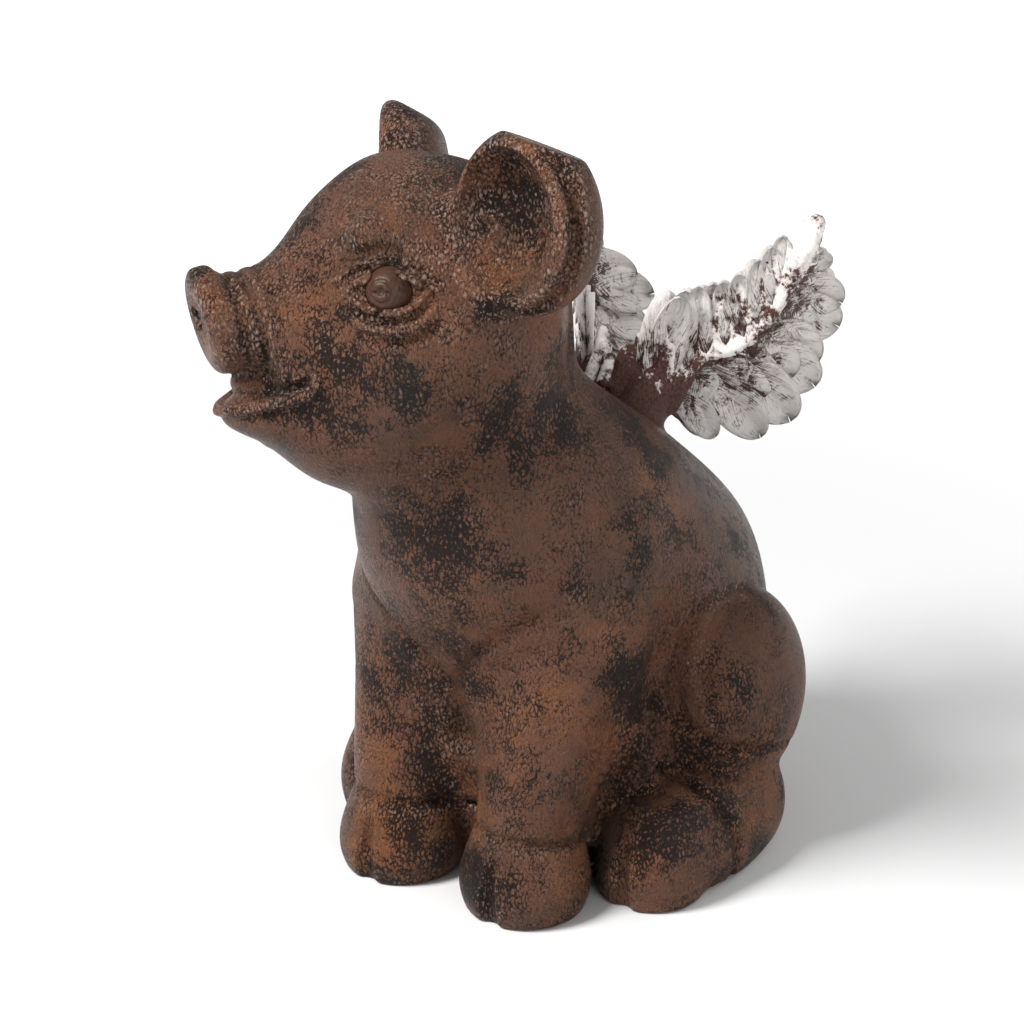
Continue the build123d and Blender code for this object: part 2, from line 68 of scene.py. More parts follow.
LYING = np.array([[0, 1.0, 0], [1, 0, 0], [0, 0, 1]])
ORIGIN = np.zeros(3)
# where the camera stands, in millimetres: creases are laid along its lines of sight
SIGHT = np.array([440.0, -615.0, 400.0])
# how a solid becomes a mesh: blocks of cells near the surface, then steps onto it
BLOCK, BLOCK_MARGIN, BATCH = 12, 1.9, 40
SETTLE_ROUNDS, SETTLE_LIMIT, SLOPE_FLOOR = 3, 1.5, 0.08
PROBE = 0.06
WEATHER_REACHES = (1.2, 3.0, 7.0)
# points along a smoothed line, and halvings when a ray looks for the surface
LINE_POINTS = 22
HALVINGS = 22

Array = np.ndarray
Field = Callable[[Array], Array]
Rows = Sequence[Sequence[float]]
Path = tuple[Array, Array]
Color = tuple[float, float, float, float]


class Side(Enum):
    """Which side of the piglet a piece belongs to, as the sign of its X."""

    LEFT = 1
    RIGHT = -1

    @property
    def word(self) -> str:
        """The side's name as the CAD nodes spell it."""
        return self.name.lower()

    def of(self, points: Sequence) -> Array:
        """Points given for the left side, on this side."""
        return np.array(points, float) * (self.value, 1, 1)

    def stack(self, rows: Rows) -> Array:
        """Rows of an oval stack given for the left side, on this side."""
        return np.array(rows, float) * (1, self.value, 1, 1, 1)


# ---- clay: smooth solid fields in millimetres


def unit(vectors: Array) -> Array:
    """Scales a vector, or each row of a table, to length one."""
    array = np.asarray(vectors, float)
    return array / np.linalg.norm(array, axis=-1, keepdims=True)


def blend_min(first: Array, second: Array, width: float) -> Array:
    """Joins two solids' distances with a fillet of the given width."""
    gap = np.maximum(width - np.abs(first - second), 0) / width
    return np.minimum(first, second) - gap * gap * width * 0.25


def blend_max(first: Array, second: Array, width: float) -> Array:
    """Keeps what two solids share, with a rounded edge of the given width."""
    return -blend_min(-first, -second, width)


def egg(middle: Array, radii: Sequence[float], axes: Array = WORLD) -> Field:
    """An ellipsoid.

    Args:
        middle: Its middle.
        radii: Its three radii.
        axes: Its three directions, as rows.

    Returns:
        The distances to it, below zero inside.
    """
    size = np.asarray(radii, float)

    def away(points: Array) -> Array:
        local = (points - middle) @ axes.T
        near = np.sqrt(((local / size) ** 2).sum(-1))
        slope = np.sqrt(((local / size**2) ** 2).sum(-1))
        return near * (near - 1) / np.maximum(slope, TINY)

    return away


def cord(route: Sequence[Array], radii: float | Sequence[float]) -> Field:
    """A rolled cord of clay with round ends.

    Args:
        route: The corners it follows.
        radii: One radius, or one for each corner.

    Returns:
        The distances to it, below zero inside.
    """
    corners = np.asarray(route, float)
    sizes = np.broadcast_to(np.asarray(radii, float), len(corners))

    def away(points: Array) -> Array:
        runs = []
        for start, end, first, last in zip(corners, corners[1:], sizes, sizes[1:]):
            line = end - start
            share = np.clip(((points - start) @ line) / (line @ line), 0, 1)
            gap = np.linalg.norm(points - start - share[..., None] * line, axis=-1)
            runs.append(gap - (first + (last - first) * share))
        return np.minimum.reduce(runs)

    return away


def beyond(point: Array, way: Array) -> Field:
    """Everything past a plane."""
    return lambda points: -((points - point) @ way)


def under_skin(solid: Field, top: float = 0.5, floor: float = 3.5) -> Field:
    """A thin layer just under a solid's skin, on which another piece can spread."""

    def away(points: Array) -> Array:
        depth = solid(points)
        return np.maximum(depth + top, -depth - floor)

    return away


class Curve:
    """A natural cubic through rows of numbers, the first of each being its place."""

    def __init__(self, rows: Rows) -> None:
        """Works out the curve's bends from its rows."""
        table = np.asarray(rows, float)
        self.place, self.value = table[:, 0], table[:, 1:]
        gap = np.diff(self.place)
        system = np.eye(len(table))
        right = np.zeros_like(self.value)
        for step in range(1, len(table) - 1):
            before, after = gap[step - 1], gap[step]
            system[step, step - 1 : step + 2] = before, 2 * (before + after), after
            rises = np.diff(self.value[step - 1 : step + 2], axis=0)
            slopes = rises / gap[step - 1 : step + 1, None]
            right[step] = 6 * (slopes[1] - slopes[0])
        self.bend = np.linalg.solve(system, right)

    @classmethod
    def even(cls, rows: Rows) -> "Curve":
        """A curve through rows spread evenly from zero to one."""
        return cls(np.column_stack([np.linspace(0, 1, len(rows)), np.asarray(rows, float)]))

    def __call__(self, where: Array) -> Array:
        """Reads the curve at any places within its rows."""
        at = np.clip(where, self.place[0], self.place[-1])
        step = np.clip(np.searchsorted(self.place, at, side="right") - 1, 0, len(self.place) - 2)
        low = (at - self.place[step])[..., None]
        high = (self.place[step + 1] - at)[..., None]
        gap = (self.place[step + 1] - self.place[step])[..., None]
        return (
            (self.bend[step] * high**3 + self.bend[step + 1] * low**3) / (6 * gap)
            + (self.value[step] / gap - self.bend[step] * gap / 6) * high
            + (self.value[step + 1] / gap - self.bend[step + 1] * gap / 6) * low
        )


def smoothed(rows: Rows) -> Array:
    """Reads a table of rows at more places, along a smooth curve."""
    return Curve.even(rows)(np.linspace(0, 1, LINE_POINTS))


class OvalStack:
    """A solid of ovals that follow each other along its first axis."""

    least_half = 0.5
    core = 0.3
    rim = 3.0

    def __init__(self, rows: Rows, middle: Array = ORIGIN, axes: Array = UPRIGHT) -> None:
        """Keeps the stack's rows.

        Args:
            rows: Place, middle on the two other axes, half size on each.
            middle: Where the axes cross.
            axes: The three directions as rows, the first running along the stack.
        """
        self.curve = Curve(rows)
        self.middle = np.asarray(middle, float)
        self.axes = axes

    def __call__(self, points: Array) -> Array:
        """Distances, below zero inside."""
        local = (points - self.middle) @ self.axes.T
        oval = self.curve(local[..., 0])
        across = local[..., 1] - oval[..., 0]
        along = local[..., 2] - oval[..., 1]
        half_x = np.maximum(oval[..., 2], self.least_half)
        half_y = np.maximum(oval[..., 3], self.least_half)
        near = np.sqrt((across / half_x) ** 2 + (along / half_y) ** 2)
        slope = np.sqrt((across / half_x**2) ** 2 + (along / half_y**2) ** 2)
        side = near * (near - 1) / np.maximum(slope, TINY)
        side = np.where(near < self.core, -np.minimum(half_x, half_y) * (1 - near), side)
        low, high = self.curve.place[0], self.curve.place[-1]
        ends = np.maximum(low - local[..., 0], local[..., 0] - high)
        return blend_max(side, ends, self.rim)


@dataclass
class Step:
    """One form added to, or taken from, a lump of clay."""

    form: Field
    width: float
    takes: bool
    middle: Array | None
    reach: float


class Clay:
    """Forms joined and cut in order, each worked out only near itself."""

    def __init__(self, first: Field) -> None:
        """Starts from one form."""
        self.first = first
        self.steps: list[Step] = []

    def add(
        self, form: Field, width: float, middle: Array | None = None, reach: float = 0,
        takes: bool = False,
    ) -> None:
        """Joins a form with a fillet.

        Args:
            form: The form.
            width: The fillet's width.
            middle: The form's middle, or None for a form without bounds.
            reach: How far from its middle the form goes.
            takes: Whether the form is taken away instead.
        """
        self.steps.append(Step(form, width, takes, middle, reach + width))

    def cut(
        self, form: Field, width: float, middle: Array | None = None, reach: float = 0
    ) -> None:
        """Takes a form away with a rounded edge."""
        self.add(form, width, middle, reach, True)

    def roll(
        self, route: Sequence[Array], radii: float | Sequence[float], width: float,
        takes: bool = False,
    ) -> None:
        """Adds a rolled cord of clay along a route, or takes it away."""
        corners = np.asarray(route, float)
        middle = corners.mean(0)
        reach = np.linalg.norm(corners - middle, axis=1).max() + np.max(radii) + 3 * width
        self.add(cord(corners, radii), width, middle, reach, takes)

    def groove(
        self, route: Sequence[Array], radii: float | Sequence[float], width: float
    ) -> None:
        """Presses a groove along a route."""
        self.roll(route, radii, width, True)

    def __call__(self, points: Array) -> Array:
        """Distances to the finished lump, below zero inside."""
        flat = points.reshape(-1, 3)
        found = self.first(flat)
        for step in self.steps:
            near = slice(None)
            if step.middle is not None:
                near = np.linalg.norm(flat - step.middle, axis=1) < step.reach
                if not near.any():
                    continue
            form = step.form(flat[near])
            if step.takes:
                found[near] = blend_max(found[near], -form, step.width)
            else:
                found[near] = blend_min(found[near], form, step.width)
        return found.reshape(points.shape[:-1])

    def meet(self, starts: Array, ways: Array, reach: float) -> Array:
        """Finds where rays from inside the lump come out.

        Args:
            starts: Where the rays start.
            ways: Their directions, of length one.
            reach: How far they may go.

        Returns:
            A point on the surface for each ray.
        """
        low, high = np.zeros(len(starts)), np.full(len(starts), reach)
        for _ in range(HALVINGS):
            middle = (low + high) / 2
            inside = self(starts + ways * middle[:, None]) < 0
            low = np.where(inside, middle, low)
            high = np.where(inside, high, middle)
        return starts + ways * low[:, None]


# ---- meshes from clay


def lattice(ranges: Sequence[Array]) -> Array:
    """Every combination of three ranges of whole numbers."""
    return np.stack(np.meshgrid(*ranges, indexing="ij"), -1).reshape(-1, 3)


def near_blocks(solid: Field, low: Array, count: Array, step: float) -> Array:
    """Finds the blocks of the grid that the solid's surface may cross.

    Args:
        solid: The solid's field.
        low: The grid's lowest corner.
        count: Its number of nodes each way.
        step: Its pitch.

    Returns:
        Grid place of each such block's first node.
    """
    starts = lattice([np.arange(0, n - 1, BLOCK) for n in count])
    middles = low + step * (starts + BLOCK / 2)
    reach = BLOCK * step * math.sqrt(3) / 2
    return starts[np.abs(solid(middles)) < reach * BLOCK_MARGIN]


def crossings(values: Array, place: Array) -> Array:
    """Middle of the points where the surface crosses each cell's edges, in cells."""
    summed, weight = np.zeros((len(place), 3)), np.zeros(len(place))
    for axis, first, second in product(range(3), (0, 1), (0, 1)):
        start = np.insert([first, second], axis, 0)
        end = np.insert([first, second], axis, 1)
        a, b = values[tuple((place + start).T)], values[tuple((place + end).T)]
        crosses = (a < 0) != (b < 0)
        point = np.tile(start.astype(float), (len(place), 1))
        point[:, axis] = np.where(crosses, a / np.where(crosses, a - b, 1), 0)
        summed += point * crosses[:, None]
        weight += crosses
    return summed / weight[:, None]


def skin(solid: Field, low: Array, high: Array, step: float) -> tuple[Array, Array]:
    """Wraps a solid in a net of four-sided faces.

    Args:
        solid: The solid's field.
        low: Lowest corner of the space to look in.
        high: Highest corner.
        step: Size of a face.

    Returns:
        The net's points and its faces.
    """
    count = np.ceil((high - low) / step).astype(int) + 1
    count = (np.ceil((count - 1) / BLOCK) * BLOCK).astype(int) + 1
    values = np.full(count, np.nan)
    starts = near_blocks(solid, low, count, step)
    inner = lattice([np.arange(BLOCK + 1)] * 3)
    for batch in np.array_split(starts, max(1, len(starts) // BATCH)):
        nodes = (batch[:, None] + inner).reshape(-1, 3)
        values[tuple(nodes.T)] = solid(low + step * nodes)
    known = ~np.isnan(values)
    inside = known & (values < 0)
    cells = count - 1
    ends = [tuple(slice(o, o + c) for o, c in zip(at, cells)) for at in product((0, 1), repeat=3)]
    total = sum(inside[end].astype(np.int8) for end in ends)
    crossed = np.logical_and.reduce([known[end] for end in ends]) & (total > 0) & (total < 8)
    place = np.argwhere(crossed)
    name = -np.ones(cells, int)
    name[crossed] = np.arange(len(place))
    faces = []
    for axis in range(3):
        others = [a for a in range(3) if a != axis]
        first, second = [slice(None)] * 3, [slice(None)] * 3
        first[axis], second[axis] = slice(0, cells[axis]), slice(1, count[axis])
        both = known[tuple(first)] & known[tuple(second)]
        edge = np.argwhere(both & (inside[tuple(first)] != inside[tuple(second)]))
        edge = edge[np.all([(edge[:, a] > 0) & (edge[:, a] < cells[a]) for a in others], axis=0)]
        quad = []
        for corner in ((1, 1), (0, 1), (0, 0), (1, 0)):
            cell = edge.copy()
            cell[:, others] -= corner
            quad.append(name[tuple(cell.T)])
        quad = np.stack(quad, 1)
        flip = inside[tuple(edge.T)] == (axis == 1)
        quad[flip] = quad[flip][:, ::-1]
        faces.append(quad[(quad >= 0).all(1)])
    return low + step * (place + crossings(values, place)), np.concatenate(faces)


def gradient(solid: Field, points: Array) -> Array:
    """The direction in which a field grows fastest, at each point."""
    rises = [solid(points + PROBE * axis) - solid(points - PROBE * axis) for axis in WORLD]
    return np.stack(rises, -1) / (2 * PROBE)


def settle(solid: Field, points: Array) -> Array:
    """Moves points onto a solid's surface."""
    for _ in range(SETTLE_ROUNDS):
        slope = gradient(solid, points)
        steepness = np.maximum((slope**2).sum(-1), SLOPE_FLOOR)
        move = -(solid(points) / steepness)[:, None] * slope
        length = np.linalg.norm(move, axis=1)
        points = points + move * np.minimum(1, SETTLE_LIMIT / np.maximum(length, TINY))[:, None]
    return points


def stored(mesh: bpy.types.Mesh, name: str, values: Array) -> None:
    """Keeps one number for each of a mesh's points, for its material to read."""
    attribute = mesh.attributes.new(name=name, type="FLOAT", domain="POINT")
    attribute.data.foreach_set("value", values.astype(np.float32))


def points_of(mesh: bpy.types.Mesh) -> Array:
    """A mesh's points, in millimetres."""
    flat = np.zeros(len(mesh.vertices) * 3, np.float32)
    mesh.vertices.foreach_get("co", flat)
    return flat.reshape(-1, 3).astype(float) / MM


@dataclass
class Zone:
    """A ball in which a skin is divided once more."""

    middle: Array
    radius: float

    def divide(self, mesh: bpy.types.Mesh) -> None:
        """Divides the faces of a mesh inside the ball."""
        work = bmesh.new()
        work.from_mesh(mesh)
        middle, reach = Vector(self.middle * MM), self.radius * MM
        inside = [f for f in work.faces if (f.calc_center_median() - middle).length < reach]
        edges = list({edge for face in inside for edge in face.edges})
        bmesh.ops.subdivide_edges(work, edges=edges, cuts=1, use_grid_fill=True)
        work.to_mesh(mesh)
        work.free()
        mesh.update()


def weather(mesh: bpy.types.Mesh, solid: Field) -> None:
    """Stores where a mesh stands proud and where it lies in a hollow."""
    points = points_of(mesh)
    slope = gradient(solid, points)
    normal = slope / np.maximum(np.linalg.norm(slope, axis=1), TINY)[:, None]
    for name, sign in (("hollow", 1), ("wear", -1)):
        found = np.zeros(len(points))
        for reach in WEATHER_REACHES:
            depth = solid(points + sign * normal * reach) / reach
            found += np.clip(1 - sign * depth, 0, 1) / len(WEATHER_REACHES)
        stored(mesh, name, found)


def sculpt(
    name: str, solid: Field, low: Array, high: Array, step: float, zones: Sequence[Zone] = ()
) -> bpy.types.Object:
    """Makes a mesh object of a solid.

    Args:
        name: The object's name.
        solid: The solid's field.
        low: Lowest corner of the space it stands in.
        high: Highest corner.
        step: Size of a face before the zones.
        zones: Where faces are divided, in order.

    Returns:
        The object; its points carry the numbers "wear" and "hollow".
    """
    points, faces = skin(solid, np.asarray(low, float), np.asarray(high, float), step)
    mesh = bpy.data.meshes.new(name)
    mesh.from_pydata((points * MM).tolist(), [], faces.tolist())
    for zone in zones:
        zone.divide(mesh)
    points = settle(solid, points_of(mesh))
    mesh.vertices.foreach_set("co", (points * MM).astype(np.float32).ravel())
    mesh.update()
    weather(mesh, solid)
    smooth(mesh)
    return bpy.data.objects.new(name, mesh)


def smooth(mesh: bpy.types.Mesh) -> None:
    """Shades a mesh smoothly."""
    mesh.polygons.foreach_set("use_smooth", [True] * len(mesh.polygons))
    mesh.update()


# ---- forms of the body


@dataclass(frozen=True)
class HeadPose:
    """Where the head is and which way it looks."""

    middle: tuple = (-8.0, -37.0, 218.0)
    turn: float = -35.0
    roll: float = 8.0

    @property
    def axes(self) -> Array:
        """The head's forward, left and upward directions, as rows."""
        turn, roll = math.radians(self.turn), math.radians(self.roll)
        forward = np.array([math.sin(turn), -math.cos(turn), 0.0])
        level = np.array([math.cos(turn), math.sin(turn), 0.0])
        left = math.cos(roll) * level + np.array([0, 0, math.sin(roll)])
        return np.stack([forward, left, np.cross(forward, left)])

    def at(self, place: Sequence, side: Side = Side.LEFT) -> Array:
        """Points given ahead, to the side and up, for one side of the face."""
        return np.array(self.middle) + (np.asarray(place, float) * (1, side.value, 1)) @ self.axes

    def traced(self, rows: Rows, side: Side) -> Path:
        """Smooths a row of such points, each with a radius."""
        table = smoothed(rows)
        return self.at(table[:, :3], side), table[:, 3]


POSE = HeadPose()


@dataclass
class Torso:
    """The barrel of the body, its legs and its tail."""

    # height, middle across, middle along Y, half width, half depth
    rows: tuple = (
        (-4, 0, 35, 54, 56), (15, 0, 37, 61, 63), (35, 0, 41, 65, 72), (60, 0, 42, 68, 80),
        (90, 0, 38, 67, 85), (120, 0, 24, 62, 86), (145, -1, 7, 55, 74), (165, -3, -7, 49, 60),
        (185, -7, -21, 42, 46), (205, -8, -28, 39, 39), (225, -8, -30, 36, 36),
    )
    # across, back, up and the radius, from the shoulder to the pastern
    foreleg: tuple = (
        (30, -2, 128, 27), (34, -12, 100, 27), (31, -22, 72, 22.5), (29, -30, 45, 20),
        (28, -33, 31, 19.0),
    )
    # height, across, back, half width, half depth
    hoof: tuple = (
        (-1, 28, -35, 21, 21), (7, 28, -35, 23.6, 23.6), (18, 28, -34.5, 22.8, 22.8),
        (29, 28, -33, 19.5, 19.5),
    )
    hind_hoof: tuple = (
        (-1, 59.7, 0, 19, 19), (9, 59.7, 0, 21.2, 21.2), (22, 60, 2, 20.6, 20.6),
        (37, 60, 9, 17, 17),
    )
    toe_tops: tuple = (-9.5, 9.5)
    thigh: tuple = ((59, 52, 61), (27, 37, 41))
    flank: tuple = ((84, 5, 76), (29, 20, 50))
    # place along the lying leg, middle across, middle height, half width, half height
    shank: tuple = (
        (2, 61, 17, 20, 22), (14, 62, 17.5, 22, 25), (30, 63, 17, 22.5, 26.5),
        (46, 63, 17, 21.5, 25.5), (60, 62, 17, 19.5, 23), (72, 59, 16, 14, 17),
    )
    # creases, on the left side as the camera sees them: across, back, up, radius
    thigh_crease: tuple = (
        (68, 46, 106, 0.5), (66, 29, 107, 1.2), (65, 16, 103, 1.9), (66, 8, 96, 2.4),
        (65, 4, 85, 2.8), (67, 4, 72, 2.9), (72, 7, 63, 2.8), (79, 15, 57, 2.4),
        (86, 32, 51, 1.9), (86, 50, 46, 1.0), (84, 66, 44, 0.4),
    )
    thigh_rim: tuple = (
        (69, 44, 103, 0.8), (67, 31, 104, 1.3), (67, 20, 99, 1.6), (69, 12, 92, 1.7),
        (70, 8.5, 83, 1.5), (73, 9, 73, 1.0), (77, 12, 66, 0.6),
    )
    shank_fold: tuple = (
        (47, -16, 40, 0.8), (50, -12, 45, 1.3), (56, -6, 50, 1.5), (67, 0, 49, 1.5),
        (79, 6, 41, 1.4), (84, 15, 28, 1.2), (82, 26, 12, 0.8),
    )
    bib: tuple = (
        (40, -45, 117, 1.2), (31, -48, 110, 2.6), (22, -50, 103, 3.6), (13, -48, 93, 4.2),
        (5, -45, 83, 4.6), (0, -41, 71, 5.0), (-1, -36, 58, 5.0),
    )
    # how far under the skin the lines of sight start
    depth: float = 16
    # the bib's crease is shallow on the side that the chest turns to
    bib_depth: tuple = (0.12, 1.0)
    tail: tuple = (
        (0, 115, 72), (4, 123, 73), (10, 126, 67), (9, 127, 57), (1, 128, 52), (-7, 128, 57),
        (-7, 129, 65), (-1, 129, 67),
    )
    tail_radii: tuple = (5, 4.6, 4.2, 3.9, 3.6, 3.2, 2.8, 2.2)

    def add_to(self, clay: Clay) -> None:
        """Adds the legs and the tail."""
        for side in Side:
            self.add_foreleg(clay, side)
            self.add_hindleg(clay, side)
        clay.roll(self.tail, self.tail_radii, width=1.5)

    def add_foreleg(self, clay: Clay, side: Side) -> None:
        """Adds a front leg with its hoof, cuff, cleft and toes."""
        table = np.array(self.foreleg, float)
        route = side.of(table[:, :3])
        clay.add(cord(route, table[:, 3]), width=9, middle=route.mean(0), reach=95)
        middle = side.of((28, -35, 14))
        clay.add(OvalStack(side.stack(self.hoof)), width=3, middle=middle, reach=45)
        self.cleft(clay, middle, radius=23.6)
        self.cuff(clay, side.of((28, -33.5, 29.5)), tilt=10)
        for across in self.toe_tops:
            ends = [middle + (across, 19, 22), middle + (across * 1.1, 22, 8)]
            clay.roll(ends, (4.5, 5.2), width=2.5)

    def cuff(self, clay: Clay, middle: Array, tilt: float) -> None:
        """Presses a cuff line round a leg, its plane tilted back by some degrees."""
        turn = np.linspace(0, 2 * math.pi, 37)
        lean = math.radians(tilt)
        along = np.array([0, -math.cos(lean), math.sin(lean)])
        ways = np.cos(turn)[:, None] * WORLD[0] + np.sin(turn)[:, None] * along
        line = clay.meet(np.tile(middle, (len(turn), 1)), ways, reach=27)
        clay.groove(line, radii=1.3, width=1.4)

    def cleft(self, clay: Clay, middle: Array, radius: float) -> None:
        """Presses the cleft between the two toes of a hoof."""
        front = middle * (1, 1, 0) - (0, radius, 0)
        route = [front + (0, 1, -3), front + (0, 0.5, 10), front + (0, 4, 24)]
        clay.groove(route, (3.2, 2.6, 0.9), width=3)

    def add_hindleg(self, clay: Clay, side: Side) -> None:
        """Adds a thigh, a lying lower leg, its hoof and the creases round them."""
        thigh, flank = side.of(self.thigh[0]), side.of(self.flank[0])
        clay.cut(egg(flank, self.flank[1]), width=7, middle=flank, reach=64)
        clay.add(egg(thigh, self.thigh[1]), width=2.5, middle=thigh, reach=62)
        shank = OvalStack(side.stack(self.shank), axes=LYING)
        hoof = OvalStack(side.stack(self.hind_hoof))
        clay.add(shank, width=4, middle=side.of((62, 36, 18)), reach=58)
        clay.add(hoof, width=3, middle=side.of((59.7, 2, 18)), reach=42)
        self.cleft(clay, side.of((59.7, 0, 14)), radius=21.2)
        self.cuff(clay, side.of((61.5, 17, 20)), tilt=72)
        clay.groove(*self.on_skin(clay, self.thigh_crease, side), width=1.4)
        clay.roll(*self.on_skin(clay, self.thigh_rim, side), width=2.0)
        clay.groove(*self.on_skin(clay, self.shank_fold, side), width=1.6)
        line, radii = self.on_skin(clay, self.bib, side)
        clay.groove(line, radii * self.bib_depth[side is Side.RIGHT], width=5.0)

    def on_skin(self, clay: Clay, rows: Rows, side: Side) -> Path:
        """Lays a line on the skin along the line of sight.

        Args:
            clay: The casting so far.
            rows: Across, back, up and radius, for the left side.
            side: The side of the body.

        Returns:
            The points of the line and the radius at each.
        """
        table = smoothed(rows)
        ways = unit(SIGHT - table[:, :3])
        starts = side.of(table[:, :3] - ways * self.depth)
        return clay.meet(starts, side.of(ways), reach=40), table[:, 3]


@dataclass(frozen=True)
class CheekLine:
    """A line modelled near the eye: how softly, whether pressed in, and its rows."""

    # ahead, up, how proud of the cheek, radius
    rows: tuple
    width: float
    takes: bool = True


@dataclass
class Face:
    """The head: skull, snout, jaw, lids, brow and mouth."""

    # ahead, across, up, half width, half height
    skull: tuple = (
        (-42, 0, 0, 14, 16), (-35, 0, 0, 29, 31), (-23, 0, -1, 40, 44), (0, 0, -3, 47, 54),
        (21, 0, -6, 45, 56), (33, 0, -9, 39, 52), (44, 0, -12, 32, 45), (52, 0, -14, 27, 37),
        (60, 0, -14, 23, 28),
    )
    barrel: tuple = (
        (40, 0, -2, 26, 28), (52, 0, -1.5, 24, 20), (60, 0, -1, 21, 17.5),
        (70, 0, -0.5, 18.5, 16.5), (76, 0, 0, 16.5, 16),
    )
    jaw: tuple = (
        (25, 0, -42, 28, 17), (46, 0, -37, 22.5, 14), (60, 0, -32.5, 19.5, 10.5),
        (67.5, 0, -31.5, 15.5, 7.6), (73, 0, -31, 9.5, 4.8), (76, 0, -31, 4, 2.5),
    )
    gum: tuple = ((58.5, 0, -21.0), (13.5, 12.5, 6.5))
    disc_middle: tuple = (76.2, 0, 0.8)
    disc_tilt: float = 12.0
    # along the disc's axis, across, up, half width, half height
    disc: tuple = (
        (-5.5, 0, 0, 14, 14.5), (-3.2, 0, 0, 16.6, 17.2), (0, 0, 0, 17.2, 18.0),
        (2.8, 0, 0, 16.8, 17.6), (5.2, 0, 0, 14.5, 15.4),
    )
    dish_ahead: float = 16.0
    dish_radii: tuple = (13, 15, 16.4)
    nostril: tuple = ((4, 6.4, 0.8), (5.5, 2.0, 3.8))
    # ahead, and radius of the fold there
    folds: tuple = ((69.8, 1.8), (64.6, 1.5), (59.6, 1.2))
    eye_middle: tuple = (25.6, 36.0, 9.2)
    eye_room: float = 8.3
    socket: tuple = ((27.5, 51.0, 9.3), (11.4, 11.2, 7.0))
    brow_bone: tuple = ((27, 30.0, 28.0), (9.5, 5.5, 6.0))
    brow: CheekLine = CheekLine(
        ((42, 16.2, 0.6, 0.5), (38, 18.8, 0.6, 1.2), (32, 21.2, 0.5, 1.8), (25.5, 22.0, 0.5, 2.2),
         (18, 21.0, 0.5, 2.1), (11, 18.0, 0.4, 1.6), (5, 14.6, 0.3, 0.7)), 3.0)
    # the bag and its crease, the fold and crease over the eye, the crease under it, the
    # upper and lower lid, and three lines at the corner
    eye_lines: tuple = (
        CheekLine(
            ((39, 2.0, 0.0, 0.6), (35, -1.0, 0.2, 1.3), (30, -2.6, 0.3, 1.6),
             (25.2, -2.7, 0.3, 1.6), (19.6, -1.2, 0.2, 1.3), (14.8, 2.4, 0.0, 0.7)), 2.5, False),
        CheekLine(
            ((36.5, -4.2, 0.2, 0.6), (31, -6.2, 0.3, 1.1), (25.4, -6.6, 0.3, 1.2),
             (19, -4.8, 0.3, 1.0), (13.8, -1.0, 0.2, 0.5)), 2.2),
        CheekLine(
            ((42, 12.8, 0.0, 0.5), (38, 16.0, 0.1, 0.8), (32.4, 18.3, 0.2, 1.0),
             (26.4, 19.0, 0.2, 1.0), (20, 17.8, 0.2, 1.0), (14.8, 14.6, 0.1, 0.7),
             (11, 11.4, 0.0, 0.4)), 1.6, False),
        CheekLine(
            ((41, 11.2, 0.2, 0.6), (37.5, 14.6, 0.4, 1.0), (32.2, 16.9, 0.5, 1.3),
             (26.6, 17.6, 0.5, 1.3), (20.8, 16.4, 0.4, 1.2), (16, 13.4, 0.2, 0.9),
             (13, 10.2, 0.1, 0.5)), 0.8),
        CheekLine(
            ((39, 4.2, 0.2, 0.5), (35.6, 1.8, 0.3, 0.8), (31, 0.2, 0.4, 1.0),
             (26.6, -0.2, 0.4, 1.0), (21.6, 0.9, 0.3, 0.9), (17.2, 4.0, 0.2, 0.7),
             (14.2, 7.4, 0.1, 0.4)), 0.8),
        CheekLine(
            ((39.8, 8.8, 0.0, 0.8), (36.6, 11.8, 0.5, 1.3), (32, 14.0, 0.9, 1.6),
             (26.8, 14.9, 1.0, 1.7), (21.5, 13.6, 0.9, 1.6), (17.8, 11.0, 0.5, 1.2),
             (14.8, 8.0, 0.0, 0.7)), 0.7, False),
        CheekLine(
            ((39.6, 9.4, 0.0, 0.7), (37, 6.2, 0.4, 1.0), (32.8, 3.8, 0.7, 1.3),
             (27.6, 2.9, 0.8, 1.4), (22.4, 3.9, 0.7, 1.3), (18.4, 6.4, 0.4, 1.0),
             (15.4, 9.2, 0.0, 0.6)), 0.7, False),
        CheekLine(((13.8, 8.6, 0.1, 0.7), (10.5, 8.4, 0.1, 0.6), (6.5, 7.0, 0.1, 0.4)), 0.8),
        CheekLine(((13.0, 11.5, 0.1, 0.5), (9.5, 12.2, 0.1, 0.5), (6.0, 12.2, 0.1, 0.3)), 0.8),
        CheekLine(((13.6, 6.0, 0.1, 0.5), (10.4, 4.4, 0.1, 0.5), (7.0, 2.2, 0.1, 0.3)), 0.8),
    )
    # ahead, across, up, radius
    lip: tuple = (
        (76.8, 0, -29.4, 1.6), (74.8, 7.2, -29.0, 1.9), (70, 13.4, -27.8, 2.1),
        (65.0, 18.4, -26.2, 2.2), (58.5, 22.6, -24.8, 2.2), (53.4, 26.2, -23.2, 2.1),
        (50.2, 28.2, -20.0, 1.8), (50.6, 28.0, -16.4, 1.1),
    )
    mouth: tuple = (
        (86, 5, -24.6, 2.4), (78, 11.0, -24.2, 2.4), (71, 16.2, -23.2, 2.3),
        (63.5, 20.2, -21.8, 2.0), (57, 23.8, -20.6, 1.7), (52.8, 26.8, -18.8, 1.3),
        (52.6, 28.2, -16.0, 0.8),
    )

    def head(self) -> OvalStack:
        """The skull and cheeks."""
        return OvalStack(self.skull, POSE.middle, POSE.axes)

